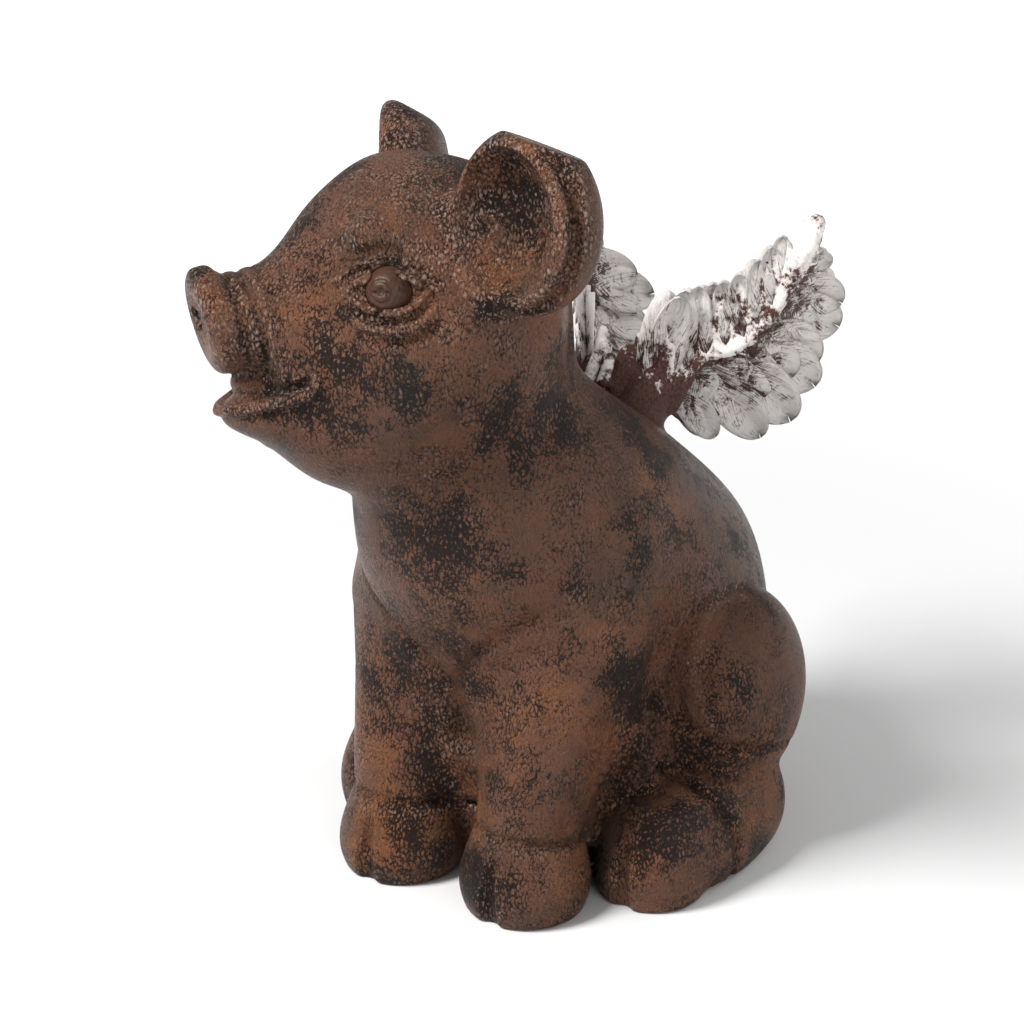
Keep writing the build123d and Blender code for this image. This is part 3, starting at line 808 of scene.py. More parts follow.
    def add_to(self, clay: Clay) -> None:
        """Adds the head and models its face."""
        clay.add(self.head(), width=14, middle=POSE.at((8, 0, -5)), reach=82)
        for rows, width, middle, reach in (
            (self.barrel, 9, (60, 0, -2), 50),
            (self.jaw, 6, (52, 0, -36), 48),
        ):
            clay.add(OvalStack(rows, POSE.middle, POSE.axes), width, POSE.at(middle), reach)
        self.place_egg(clay, self.gum, Side.LEFT, width=3.5, reach=22)
        self.add_snout(clay)
        for side in Side:
            clay.roll(*POSE.traced(self.lip, side), width=1.5)
            clay.groove(*POSE.traced(self.mouth, side), width=0.8)
            self.add_eye(clay, side)

    def place_egg(
        self, clay: Clay, shape: tuple, side: Side, width: float, reach: float,
        takes: bool = False,
    ) -> None:
        """Adds an ellipsoid in the head's own directions, or takes it away.

        Args:
            clay: The head.
            shape: Its middle and its radii.
            side: The side of the face.
            width: How softly its edge is rounded.
            reach: How far from its middle it is worked out.
            takes: Whether it is taken away.
        """
        middle = POSE.at(shape[0], side)
        clay.add(egg(middle, shape[1], POSE.axes), width, middle, reach, takes)

    def disc_axes(self) -> Array:
        """The disc's own directions, its top leading."""
        forward, left, up = POSE.axes
        tilt = math.radians(self.disc_tilt)
        ahead = forward * math.cos(tilt) - up * math.sin(tilt)
        return np.stack([ahead, left, np.cross(ahead, left)])

    def add_snout(self, clay: Clay) -> None:
        """Adds the folds, the disc with its hollow face and the nostrils."""
        turn = np.radians(np.linspace(-48, 228, 30))
        ways = np.cos(turn)[:, None] * POSE.axes[1] + np.sin(turn)[:, None] * POSE.axes[2]
        # the folds fade over the top of the snout and at their ends
        fading = (1 - 0.7 * np.exp(-(((turn - math.pi / 2) / 0.5) ** 2))) * fade(len(turn))
        for ahead, radius in self.folds:
            starts = POSE.at([(ahead + 2.6 * math.sin(t), 0, -2) for t in turn])
            clay.groove(clay.meet(starts, ways, reach=34), radius * fading, width=1.6)
        axes = self.disc_axes()
        middle = POSE.at(self.disc_middle)
        dish = egg(middle + axes[0] * self.dish_ahead, self.dish_radii, axes)
        clay.add(OvalStack(self.disc, middle, axes), width=2.0, middle=middle, reach=34)
        clay.cut(dish, width=2.0, middle=middle, reach=36)
        for side in Side:
            hole = middle + (np.array(self.nostril[0]) * (1, side.value, 1)) @ axes
            clay.cut(egg(hole, self.nostril[1], axes), width=1.0, middle=hole, reach=9)

    def on_cheek(self, clay: Clay, rows: Rows, side: Side) -> Path:
        """Lays a line on the side of the head as it is so far.

        Args:
            clay: The head.
            rows: Ahead, up, how proud of the cheek, and radius.
            side: The side of the face.

        Returns:
            The points of the line and the radius at each.
        """
        table = smoothed(rows)
        starts = POSE.at([(ahead, 8, up) for ahead, up in table[:, :2]], side)
        ways = np.tile(POSE.axes[1] * side.value, (len(table), 1))
        return clay.meet(starts, ways, reach=60) + ways * table[:, 2:3], table[:, 3]

    def add_eye(self, clay: Clay, side: Side) -> None:
        """Models the socket, the lids, the brow and the bags round an eye."""
        self.place_egg(clay, self.brow_bone, side, width=7, reach=22)
        brow = self.on_cheek(clay, self.brow.rows, side)
        laid = [(line, self.on_cheek(clay, line.rows, side)) for line in self.eye_lines]
        clay.groove(*brow, self.brow.width)
        self.place_egg(clay, self.socket, side, width=1.5, reach=20, takes=True)
        for line, path in laid:
            clay.roll(*path, line.width, line.takes)
        room = self.eye_middle, (self.eye_room,) * 3
        self.place_egg(clay, room, side, width=0.4, reach=14, takes=True)


def fade(count: int) -> Array:
    """Factors for a groove's radius that fade at both ends."""
    place = np.linspace(0, 1, count)
    return np.clip(np.minimum(place, 1 - place) * 8, 0.15, 1)


@dataclass
class Body:
    """The one-piece casting: torso, legs, tail and head."""

    step: float = 1.9
    low: tuple = (-100.0, -128.0, -4.0)
    high: tuple = (100.0, 138.0, 284.0)
    torso: Torso = field(default_factory=Torso)
    face: Face = field(default_factory=Face)

    def solid(self) -> Clay:
        """The casting as clay."""
        clay = Clay(OvalStack(self.torso.rows))
        self.face.add_to(clay)
        self.torso.add_to(clay)
        clay.cut(lambda p: p[..., 2], width=0.6)
        return clay

    def zones(self) -> list[Zone]:
        """Where the skin is finer: face, snout, eyes and hooves."""
        zones = [Zone(POSE.at((52, 14, -6)), 46)]
        for side in Side:
            eye = POSE.at((26, 38, 9), side)
            zones += [Zone(eye, 24), Zone(eye, 21)]
            zones += [Zone(side.of((28, -50, 12)), 22), Zone(side.of((60, -14, 12)), 20)]
        return zones

    def build(self) -> bpy.types.Object:
        """Makes the casting."""
        return sculpt("body_casting", self.solid(), self.low, self.high, self.step, self.zones())


@dataclass(frozen=True)
class EarShape:
    """What differs between the two ears."""

    place: tuple = (-8, 59, 29.5)
    turn: float = 28
    shell_back: float = -8
    shell_radii: tuple = (18, 27.5, 30)
    facet: tuple = (-0.25, 0.28, 0.93)
    facet_reach: float = 26.2
    facet_edge: float = 0.8


EARS = {
    Side.LEFT: EarShape(),
    Side.RIGHT: EarShape(
        (0, 48, 40.5), 24, -7, (14.5, 27.5, 30), (-0.50, 0.10, 0.86), 25.0, 4.0
    ),
}


@dataclass
class Ear:
    """One ear: a deep cup with a lip, a fold behind it and a flat grained back."""

    side: Side
    step: float = 0.95
    room: float = 42
    reach: float = 37
    bowl: tuple = ((3, -2, 0), (15, 21.5, 24))
    slit: tuple = ((-2.2, -20.4, -15), (-6.2, -17, -3))

    @property
    def shape(self) -> EarShape:
        """This side's own measures."""
        return EARS[self.side]

    @property
    def middle(self) -> Array:
        """The middle of the ear's mouth."""
        return POSE.at(self.shape.place, self.side)

    @property
    def axes(self) -> Array:
        """Out of the mouth, away from the head, and up."""
        forward, left, up = POSE.axes
        turn = math.radians(self.shape.turn)
        out = left * self.side.value
        ahead = math.cos(turn) * forward + math.sin(turn) * out
        return np.stack([ahead, -math.sin(turn) * forward + math.cos(turn) * out, up])

    def local(self, place: Sequence) -> Array:
        """Points given ahead, outward and up in the ear's own directions."""
        return self.middle + np.asarray(place, float) @ self.axes

    def solid(self) -> Clay:
        """The ear as clay, with a skirt that sinks under the head's skin."""
        axes, shape, middle = self.axes, self.shape, self.middle
        ear = Clay(egg(self.local((shape.shell_back, 0, 0)), shape.shell_radii, axes))
        ear.cut(beyond(self.local((2.2, 0, 0)), axes[0]), 2.5)
        normal = unit(shape.facet) @ axes
        ear.cut(beyond(middle + normal * shape.facet_reach, normal), shape.facet_edge)
        ear.cut(egg(self.local(self.bowl[0]), self.bowl[1], axes), 1.2)
        turn = np.radians(np.linspace(-88, 76, 26))
        fold = self.local([(-2.6, 25.6 * math.cos(t), 27.8 * math.sin(t)) for t in turn])
        ear.groove(fold, 2.2 * fade(len(turn)) + 0.3, width=1.3)
        ear.groove(self.local(self.slit), (1.4, 2.2), width=1.6)
        ear.add(under_skin(Face().head()), width=9)
        ear.cut(lambda p: self.reach - np.linalg.norm(p - middle, axis=-1), width=0.5)
        return ear

    def build(self) -> bpy.types.Object:
        """Makes the ear."""
        low, high = self.middle - self.room, self.middle + self.room
        return sculpt(f"{self.side.word}_ear_cup", self.solid(), low, high, self.step)


@dataclass
class Eye:
    """One eye: a ball with a ringed iris and a sunken pupil."""

    side: Side
    radius: float = 8.2
    iris_radius: float = 3.7
    pupil_radius: float = 1.5
    pit_radius: float = 0.7
    look: tuple = (0.648, 0.756, 0.075)
    room: float = 1.5
    step: float = 0.45

    def build(self) -> bpy.types.Object:
        """Makes the eye."""
        middle = POSE.at(Face().eye_middle, self.side)
        look = unit((np.array(self.look) * (1, self.side.value, 1)) @ POSE.axes)
        across = unit(np.cross(look, POSE.axes[2]))
        up = np.cross(across, look)
        ball = Clay(egg(middle, (self.radius,) * 3))
        depth = math.sqrt(self.radius**2 - self.iris_radius**2)
        ring = [
            middle + look * depth + self.iris_radius * (across * math.cos(t) + up * math.sin(t))
            for t in np.linspace(0, 2 * math.pi, 25)
        ]
        ball.groove(ring, 0.45, 0.5)
        front = middle + look * self.radius
        ball.cut(egg(front, (self.pupil_radius,) * 3), 0.8)
        for share in (-0.55, 0.55):
            pit = front + across * self.pupil_radius * share * 2.6 - up * 0.4 - look * 0.7
            ball.cut(egg(pit, (self.pit_radius,) * 3), 0.6)
        edge = self.radius + self.room
        name = f"{self.side.word}_eye_ball"
        return sculpt(name, ball, middle - edge, middle + edge, self.step)


# ---- wings


@dataclass(frozen=True)
class FeatherRow:
    """One row of feathers: its edge, length, width, height, lean and places along the wing."""

    edge: str
    length: float
    width: float
    lift: float
    lean: float
    places: tuple


@dataclass
class Wing:
    """One wing: a rounded arm on a root, and rows of overlapping feathers."""

    side: Side
    root: tuple = (14, 62, 161)
    # reach, sweep and rise of the left wing and of the right one
    spans: tuple = ((46, 80, 68), (35, 80, 60))
    # across, back and up from the root, over reach, sweep and rise
    top: tuple = (
        (0.00, 0.02, 0.58), (0.16, 0.10, 0.64), (0.37, 0.23, 0.67), (0.54, 0.29, 0.73),
        (0.77, 0.39, 0.90), (0.97, 0.48, 1.04),
    )
    ridge: tuple = (
        (0.00, 0.04, 0.02), (0.28, 0.20, 0.23), (0.54, 0.31, 0.33), (0.72, 0.40, 0.47),
        (0.90, 0.46, 0.74), (1.03, 0.52, 1.02),
    )
    trail: tuple = (
        (0.10, 0.12, -0.13), (0.30, 0.43, -0.24), (0.52, 0.88, -0.20), (0.62, 0.96, 0.06),
        (0.77, 0.99, 0.42), (1.03, 0.55, 0.92),
    )
    arm_radii: tuple = (3.4, 2.7, 2.3, 2.2, 2.8, 2.4)
    # the web between the arm and its edges: how far out, how far along, how many folds
    web: tuple = (("top", 0.84), ("trail", 0.70))
    web_folds: int = 26
    web_lean: float = 0.10
    tip: tuple = (0.80, 0.90, 0.98)
    tip_radii: tuple = (3.0, 4.2, 3.2)
    seat_way: tuple = (0.26, 0.58, 0.77)
    seat_radii: tuple = (10.5, 4.5)
    rows: tuple = (
        FeatherRow(
            "trail", 1.00, 0.20, 0.0, 0.07, (0.10, 0.22, 0.34, 0.46, 0.57, 0.67, 0.77, 0.86)
        ),
        FeatherRow("trail", 0.68, 0.27, 0.9, 0.06, (0.08, 0.20, 0.32, 0.44, 0.56, 0.68, 0.80)),
        FeatherRow("trail", 0.42, 0.38, 1.7, 0.05, (0.06, 0.18, 0.30, 0.43, 0.56)),
        FeatherRow(
            "top", 1.02, 0.19, 0.0, 0.16, (0.0, 0.09, 0.18, 0.27, 0.36, 0.45, 0.54, 0.62, 0.69)
        ),
        FeatherRow("top", 0.64, 0.22, 0.8, 0.12, (0.04, 0.14, 0.24, 0.34, 0.44, 0.54, 0.64)),
    )
    # a stub beside the spine: its two ends, across, back and up, and its radius
    stubs: tuple = (
        (((4.0, 56, 168), (4.6, 63, 181)), 3.4), (((10, 60, 167), (8.6, 67, 186)), 2.7),
        (((14, 64, 164), (17.5, 71, 183)), 3.6), (((3.2, 50, 172), (3.0, 55, 180)), 2.6),
        (((21, 70, 161), (25, 78, 175)), 3.0),
    )
    # the dowels' ends, across, back and up
    dowels: tuple = (
        ((9.2, 51.4, 156.3), (14.6, 63.4, 172.2)), ((13.0, 59.8, 148.7), (18.4, 71.8, 164.6)),
    )
    dowel_cover: float = 4.4
    # how far the arm stays from the middle of the back, and how deep it sinks in
    clear: float = 0.3
    sink: float = 3.5
    # height over which the whitewash gets thicker, and its most
    wash_from: float = 2
    wash_rise: float = 34
    wash_most: float = 0.66
    bed: float = 1.2
    step: float = 0.9

    @property
    def seat(self) -> Array:
        """Where the wing stands on the back."""
        return self.side.of(self.root)

    def point(self, share: Array) -> Array:
        """Places of the wing, in millimetres."""
        span = self.spans[self.side is Side.RIGHT]
        return self.side.of(np.array(self.root) + np.asarray(share) * span)

    def along(self, edge: str, place: float | Array) -> Array:
        """A place along one of the wing's three lines."""
        return self.point(Curve.even(getattr(self, edge))(np.asarray(place)))

    def arm(self) -> Clay:
        """The arm, the web behind it, the root and its stubs, as clay."""
        shares = np.linspace(0, 1, 20)
        radii = np.interp(shares, np.linspace(0, 1, len(self.arm_radii)), self.arm_radii)
        clay = Clay(cord(self.along("ridge", shares), radii))
        for place in np.linspace(0.02, 0.94, self.web_folds):
            fold = self.along("ridge", place)
            for edge, reach in self.web:
                end = self.along(edge, min(place + self.web_lean, 1.0))
                clay.roll([fold, fold + (end - fold) * reach], (1.6, 0.8), width=2.2)
        normal = unit(self.side.of(self.seat_way))
        boss = [self.seat - normal * 5, self.seat + normal * 10]
        clay.add(cord(boss, self.seat_radii), width=3.5, middle=self.seat, reach=36)
        clay.roll(self.along("ridge", self.tip), self.tip_radii, width=3.0)
        for ends in self.dowels:
            clay.roll(self.side.of(ends), self.dowel_cover, width=3.0)
        for ends, radius in self.stubs:
            clay.roll(self.side.of(ends), (radius, radius * 0.75), width=3.0)
        torso = OvalStack(Torso().rows)
        clay.add(under_skin(torso), width=5, middle=self.seat, reach=24)
        clay.cut(lambda p: torso(p) + self.sink, width=0.5)
        clay.cut(lambda p: p[..., 0] * self.side.value - self.clear, width=0.5)
        return clay

    def build_arm(self) -> bpy.types.Object:
        """Makes the arm."""
        ends = self.point(self.top + self.ridge + self.trail)
        ends = np.vstack([ends, self.seat - 24, self.seat + 24])
        arm = sculpt("arm", self.arm(), ends.min(0) - 8, ends.max(0) + 8, self.step)
        height = points_of(arm.data)[:, 2] - self.seat[2] + self.wash_from
        stored(arm.data, "wash", np.clip(height / self.wash_rise, 0.0, self.wash_most))
        return arm

    def feather_places(self) -> tuple[list[Vector], list[Vector], list[Vector]]:
        """Where each feather starts, how it is turned and how large it is."""
        starts, turns, sizes = [], [], []
        for row in self.rows:
            for place in row.places:
                start = self.along("ridge", place)
                ahead = self.along("ridge", min(place + 0.04, 1.0)) - start
                run = self.along(row.edge, min(place + row.lean, 1.0)) - start
                length = np.linalg.norm(run) * row.length
                x = unit(run)
                for face in (1, -1):
                    z = unit(np.cross(ahead, run)) * face
                    turn = Matrix(np.stack([x, np.cross(z, x), z], 1).tolist()).to_euler()
                    starts.append(Vector((start + z * (row.lift + self.bed)) * MM))
                    turns.append(Vector(turn))
                    sizes.append(Vector(np.array((length, length * row.width, length)) * MM))
        return starts, turns, sizes

    def build(self, feather: bpy.types.Object, finish: bpy.types.Material) -> bpy.types.Object:
        """Joins the arm and the feathers that the node tree lays on it."""
        starts, turns, sizes = self.feather_places()
        mesh = bpy.data.meshes.new("feather_starts")
        mesh.from_pydata([tuple(start) for start in starts], [], [])
        for name, values in (("turn", turns), ("size", sizes)):
            attribute = mesh.attributes.new(name=name, type="FLOAT_VECTOR", domain="POINT")
            attribute.data.foreach_set("vector", [n for value in values for n in value])
        feathers = FeatherTree().grow(mesh, feather, finish)
        return joined(f"{self.side.word}_wing_feathers", [self.build_arm(), feathers])


@dataclass
class Feather:
    """One feather of unit length, with a raised rib and thin edges."""

    steps_along: int = 16
    steps_across: int = 8
    thickness: float = 0.04
    crown: float = 0.13
    curl: float = 0.05
    rib: float = 0.012
    rib_width: float = 0.16
    root_share: float = 0.30
    least_half: float = 0.02

    def half_width(self, along: Array) -> Array:
        """Half the feather's width over its greatest, from root to tip."""
        swell = np.sin(np.clip(along / 0.5, 0, 1) * math.pi / 2)
        tip = np.sqrt(np.clip(1 - (np.clip(along - 0.5, 0, 1) / 0.5) ** 2.4, 0, 1))
        return (self.root_share + (1 - self.root_share) * swell) * tip

    def faces(self, rows: int, columns: int) -> list[tuple[int, ...]]:
        """Faces of the upper and lower sheet, and of the edge between them."""
        names = np.arange(rows * columns).reshape(rows, columns)
        corners = (names[:-1, :-1], names[1:, :-1], names[1:, 1:], names[:-1, 1:])
        upper = np.stack(corners, -1).reshape(-1, 4)
        lower = upper[:, [0, 3, 2, 1]] + names.size
        border = [*names[:, 0], *names[-1, 1:], *names[-2::-1, -1], *names[0, -2:0:-1]]
        rim = [
            (here + names.size, there + names.size, there, here)
            for here, there in zip(border, border[1:] + border[:1])
        ]
        both = np.stack([upper, lower], 1).reshape(-1, 4)
        return [*map(tuple, both.tolist()), *(tuple(map(int, face)) for face in rim)]

    def build(self) -> bpy.types.Object:
        """Makes the feather's mesh, with its own map."""
        along = 1 - (1 - np.linspace(0, 1, self.steps_along + 1)) ** 1.4
        u, v = np.meshgrid(along, np.linspace(-1, 1, self.steps_across + 1), indexing="ij")
        y = v * np.maximum(self.half_width(u), self.least_half)
        rib = self.rib * np.exp(-((v / self.rib_width) ** 2))
        top = -self.crown * v**2 * 0.5 - self.curl * u**2 + rib
        edge = 1 - 0.7 * np.abs(v) ** 3
        low = top - self.thickness * edge * (1 - 0.5 * u) - 0.004
        points = np.concatenate([np.stack([u, y, z], -1).reshape(-1, 3) for z in (top, low)])
        mesh = bpy.data.meshes.new("feather")
        mesh.from_pydata(points.tolist(), [], self.faces(*u.shape))
        flat = np.tile(np.stack([u, v * 0.5 + 0.5], -1).reshape(-1, 2), (2, 1))
        loops = np.zeros(len(mesh.loops), int)
        mesh.loops.foreach_get("vertex_index", loops)
        uv = mesh.uv_layers.new(name="feather_map")
        uv.data.foreach_set("uv", flat[loops].astype(np.float32).ravel())
        for name, values in (
            ("wear", 0.16 + 0.5 * np.abs(v) ** 3 + 0.3 * u**3),
            ("hollow", 0.45 * (1 - u)),
            ("wash", 0.56 + 0.40 * u),
        ):
            stored(mesh, name, np.tile(values.reshape(-1), 2))
        smooth(mesh)
        return bpy.data.objects.new("feather", mesh)


VECTORS = {"data_type": "FLOAT_VECTOR"}


@dataclass
class FeatherTree:
    """A node tree that lays one feather at each point of a mesh."""

    ruffle: float = 0.07
    seed: int = 7
    sockets: tuple = (
        ("INPUT", "Geometry", "Geometry"), ("INPUT", "Feather", "Object"),
        ("INPUT", "Finish", "Material"), ("INPUT", "Ruffle", "Float"), ("INPUT", "Seed", "Int"),
        ("OUTPUT", "Geometry", "Geometry"),
    )
    # each node's name here, its type and, where it has any, its properties and fixed inputs
    parts: tuple = (
        ("start", "NodeGroupInput"), ("end", "NodeGroupOutput"),
        ("shape", "GeometryNodeObjectInfo"),
        ("turn", "GeometryNodeInputNamedAttribute", VECTORS, {"Name": "turn"}),
        ("size", "GeometryNodeInputNamedAttribute", VECTORS, {"Name": "size"}),
        ("chance", "FunctionNodeRandomValue", VECTORS, {"Min": (-1,) * 3, "Max": (1,) * 3}),
        ("amount", "ShaderNodeVectorMath", {"operation": "SCALE"}),
        ("shifted", "ShaderNodeVectorMath", {"operation": "ADD"}),
        ("turned", "FunctionNodeEulerToRotation"), ("laid", "GeometryNodeInstanceOnPoints"),
        ("real", "GeometryNodeRealizeInstances"), ("dressed", "GeometryNodeSetMaterial"),
    )
    # from a node's output to a node's input
    links: tuple = (
        ("start", "Feather", "shape", "Object"), ("start", "Seed", "chance", "Seed"),
        ("chance", "Value", "amount", 0), ("start", "Ruffle", "amount", "Scale"),
        ("turn", "Attribute", "shifted", 0), ("amount", "Vector", "shifted", 1),
        ("shifted", "Vector", "turned", "Euler"), ("start", "Geometry", "laid", "Points"),
        ("shape", "Geometry", "laid", "Instance"), ("turned", "Rotation", "laid", "Rotation"),
        ("size", "Attribute", "laid", "Scale"), ("laid", "Instances", "real", "Geometry"),
        ("real", "Geometry", "dressed", "Geometry"), ("start", "Finish", "dressed", "Material"),
        ("dressed", "Geometry", "end", "Geometry"),
    )

    def tree(self) -> bpy.types.NodeTree:
        """Builds the tree."""
        tree = bpy.data.node_groups.new("lay_feathers", "GeometryNodeTree")
        for way, name, kind in self.sockets:
            tree.interface.new_socket(name=name, in_out=way, socket_type=f"NodeSocket{kind}")
        nodes = {}
        for name, kind, *rest in self.parts:
            settings, inputs = [*rest, {}, {}][:2]
            nodes[name] = tree.nodes.new(kind)
            for key, value in settings.items():
                setattr(nodes[name], key, value)
            feed(nodes[name], inputs)
        for source, output, target, entry in self.links:
            tree.links.new(nodes[source].outputs[output], nodes[target].inputs[entry])
        return tree

    def grow(
        self, starts: bpy.types.Mesh, feather: bpy.types.Object, finish: bpy.types.Material
    ) -> bpy.types.Object:
        """Lays the feathers and keeps the result as a plain mesh.

        Args:
            starts: A point for each feather, with its turn and its size.
            feather: The feather to repeat.
            finish: The feathers' material.

        Returns:
            An object with all the feathers.
        """
        bed = bpy.data.objects.new("feather_bed", starts)
        put_in_scene(bed)
        put_in_scene(feather)
        modifier = bed.modifiers.new("lay_feathers", "NODES")
        modifier.node_group = self.tree()
        values = {"Feather": feather, "Finish": finish, "Ruffle": self.ruffle, "Seed": self.seed}
        for socket in modifier.node_group.interface.items_tree:
            if socket.in_out == "INPUT" and socket.name in values:
                modifier[socket.identifier] = values[socket.name]
        bpy.context.view_layer.update()
        view = bed.evaluated_get(bpy.context.evaluated_depsgraph_get())
        mesh = bpy.data.meshes.new_from_object(view)
        bed.modifiers.clear()
        bpy.data.objects.remove(bed)
        return bpy.data.objects.new("feathers", mesh)


def put_in_scene(piece: bpy.types.Object) -> None:
    """Links an object to the scene, once."""
    pieces = bpy.context.scene.collection.objects
    if piece.name not in pieces:
        pieces.link(piece)


def joined(name: str, pieces: Sequence[bpy.types.Object]) -> bpy.types.Object:
    """Joins several meshes into one object, keeping their attributes."""
    first = pieces[0]
    for piece in pieces:
        put_in_scene(piece)
    with bpy.context.temp_override(
        active_object=first, object=first, selected_editable_objects=list(pieces)
    ):
        bpy.ops.object.join()
    first.name = first.data.name = name
    return first


# ---- finishes


def feed(node: bpy.types.Node, inputs: dict[str | int, object]) -> None:
    """Links a node's inputs, or sets their values."""
    for key, value in inputs.items():
        if isinstance(value, Output):
            node.id_data.links.new(value.socket, node.inputs[key])
        else:
            node.inputs[key].default_value = value


@dataclass(frozen=True)
class Output:
    """A node's output, which can be reckoned with as a number can."""

    nodes: "Nodes"
    socket: bpy.types.NodeSocket

    def __getitem__(self, key: str | int) -> "Output":
        """Another output of the same node."""
        return Output(self.nodes, self.socket.node.outputs[key])

    def __add__(self, other: object) -> "Output":
        """Adds."""
        return self.nodes.math("ADD", self, other)

    def __sub__(self, other: object) -> "Output":
        """Takes away."""
        return self.nodes.math("SUBTRACT", self, other)

    def __mul__(self, other: object) -> "Output":
        """Multiplies."""
        return self.nodes.math("MULTIPLY", self, other)

    def __abs__(self) -> "Output":
        """Drops the sign."""
        return self.nodes.math("ABSOLUTE", self)


class Nodes:
    """A short way to lay out the nodes of one shader tree."""

    def __init__(self, tree: bpy.types.NodeTree) -> None:
        """Keeps the tree."""
        self.tree = tree

    def new(self, kind: str, inputs: dict | None = None, **settings: object) -> Output:
        """Adds a node.

        Args:
            kind: The node's type, without its "ShaderNode".
            inputs: Values or outputs, by the input's name or number.
            **settings: Properties of the node itself.

        Returns:
            The node's first output.
        """
        node = self.tree.nodes.new(f"ShaderNode{kind}")
        for name, value in settings.items():
            setattr(node, name, value)
        feed(node, inputs or {})
        return Output(self, node.outputs[0])

    def math(self, operation: str, *values: object) -> Output:
        """Adds one step of reckoning."""
        return self.new("Math", dict(enumerate(values)), operation=operation)

    def place(self) -> Output:
        """The point of the object that is being painted."""
        return self.new("TexCoord")["Object"]

    def stored(self, *names: str) -> list[Output]:
        """Numbers that the mesh keeps for each of its points."""
        return [self.new("Attribute", attribute_name=name)["Fac"] for name in names]

    def noise(self, vector: Output, scale: object, detail: float, rough: float) -> Output:
        """Adds a noise texture."""
        inputs = {"Vector": vector, "Scale": scale, "Detail": detail, "Roughness": rough}
        return self.new("TexNoise", inputs)

    def steep(
        self, value: object, low: object, high: object, out_low: float = 0, out_high: float = 1
    ) -> Output:
        """Spreads a band of values smoothly over another."""
        inputs = dict(enumerate((value, low, high, out_low, out_high)))
        return self.new("MapRange", inputs, interpolation_type="SMOOTHSTEP")

    def mix(self, share: object, first: object, second: object) -> Output:
        """Mixes two colours."""
        return self.new("Mix", {0: share, 6: first, 7: second}, data_type="RGBA")[2]


def group(
    name: str, numbers: Sequence[str], results: Sequence[str]
) -> tuple[Nodes, Output, bpy.types.Node]:
    """Starts a shader node group.

    Args:
        name: Its name.
        numbers: Its inputs, besides the place.
        results: Its outputs.

    Returns:
        Its node helper, its place input and its last node.
    """
    tree = bpy.data.node_groups.new(name, "ShaderNodeTree")
    face = tree.interface
    face.new_socket(name="Place", in_out="INPUT", socket_type="NodeSocketVector")
    for way, labels in (("INPUT", numbers), ("OUTPUT", results)):
        for label in labels:
            face.new_socket(name=label, in_out=way, socket_type="NodeSocketFloat")
    nodes = Nodes(tree)
    start = tree.nodes.new("NodeGroupInput")
    return nodes, Output(nodes, start.outputs[0]), tree.nodes.new("NodeGroupOutput")


def crackle_group() -> bpy.types.NodeTree:
    """Fine wandering cracks and specks, which grow together where they are dense."""
    nodes, place, end = group("fine_crackle", ("Fineness", "Density"), ("Cracks", "Height"))
    fine = place["Fineness"]
    long_way = nodes.new("Mapping", {"Vector": place, "Scale": (1.0, 0.9, 0.62)})
    coarse = nodes.noise(long_way, fine, 4.0, 0.6)
    close = nodes.noise(long_way, fine * 2.3, 3.0, 0.65)
    bent = nodes.new(
        "VectorMath", {0: close["Color"], 1: (0.0016,) * 3, 2: long_way}, operation="MULTIPLY_ADD"
    )
    chips = nodes.new(
        "TexVoronoi", {"Vector": bent, "Scale": fine * 1.05}, feature="DISTANCE_TO_EDGE"
    )
    line = chips * 0.29 + abs(coarse - 0.5) * 0.44 + abs(close - 0.5) * 0.40
    reach = place["Density"] * 0.155 + 0.014
    cracks = nodes.steep(line - reach, -0.018, 0.012, 1, 0)
    feed(end, {"Cracks": cracks, "Height": line * 3.6 + close * 0.35})
    return nodes.tree


def cloud_group() -> bpy.types.NodeTree:
    """Broad drifting areas, for where paint was brushed on or rubbed off."""
    nodes, place, end = group("brushed_areas", ("Size", "Low", "High"), ("Mask",))
    broad = nodes.noise(place, place["Size"], 7.0, 0.66)
    feed(end, {"Mask": nodes.steep(broad, place["Low"], place["High"])})
    return nodes.tree


@dataclass(frozen=True)
class Groups:
    """The node groups that all the finishes share."""

    crackle: bpy.types.NodeTree
    clouds: bpy.types.NodeTree

    def cracks(self, nodes: Nodes, fineness: float, density: object) -> tuple[Output, Output]:
        """The cracks of a surface and its height."""
        inputs = {"Place": nodes.place(), "Fineness": fineness, "Density": density}
        found = nodes.new("Group", inputs, node_tree=self.crackle)
        return found["Cracks"], found["Height"]


@dataclass(frozen=True)
class Areas:
    """One use of the brushed areas: how broad, between which values, and from where."""

    size: float
    low: float
    high: float
    offset: tuple[float, float, float]

    def mask(self, nodes: Nodes, groups: Groups) -> Output:
        """Adds the group and returns its mask."""
        moved = nodes.new("VectorMath", {0: nodes.place(), 1: self.offset}, operation="ADD")
        inputs = {"Place": moved, "Size": self.size, "Low": self.low, "High": self.high}
        return nodes.new("Group", inputs, node_tree=groups.clouds)


def blank(name: str) -> tuple[bpy.types.Material, Nodes, bpy.types.Node]:
    """Starts a material and returns it with its node helper and its shader."""
    material = bpy.data.materials.new(name)
    material.use_nodes = True
    shader = material.node_tree.nodes["Principled BSDF"]
    return material, Nodes(material.node_tree), shader


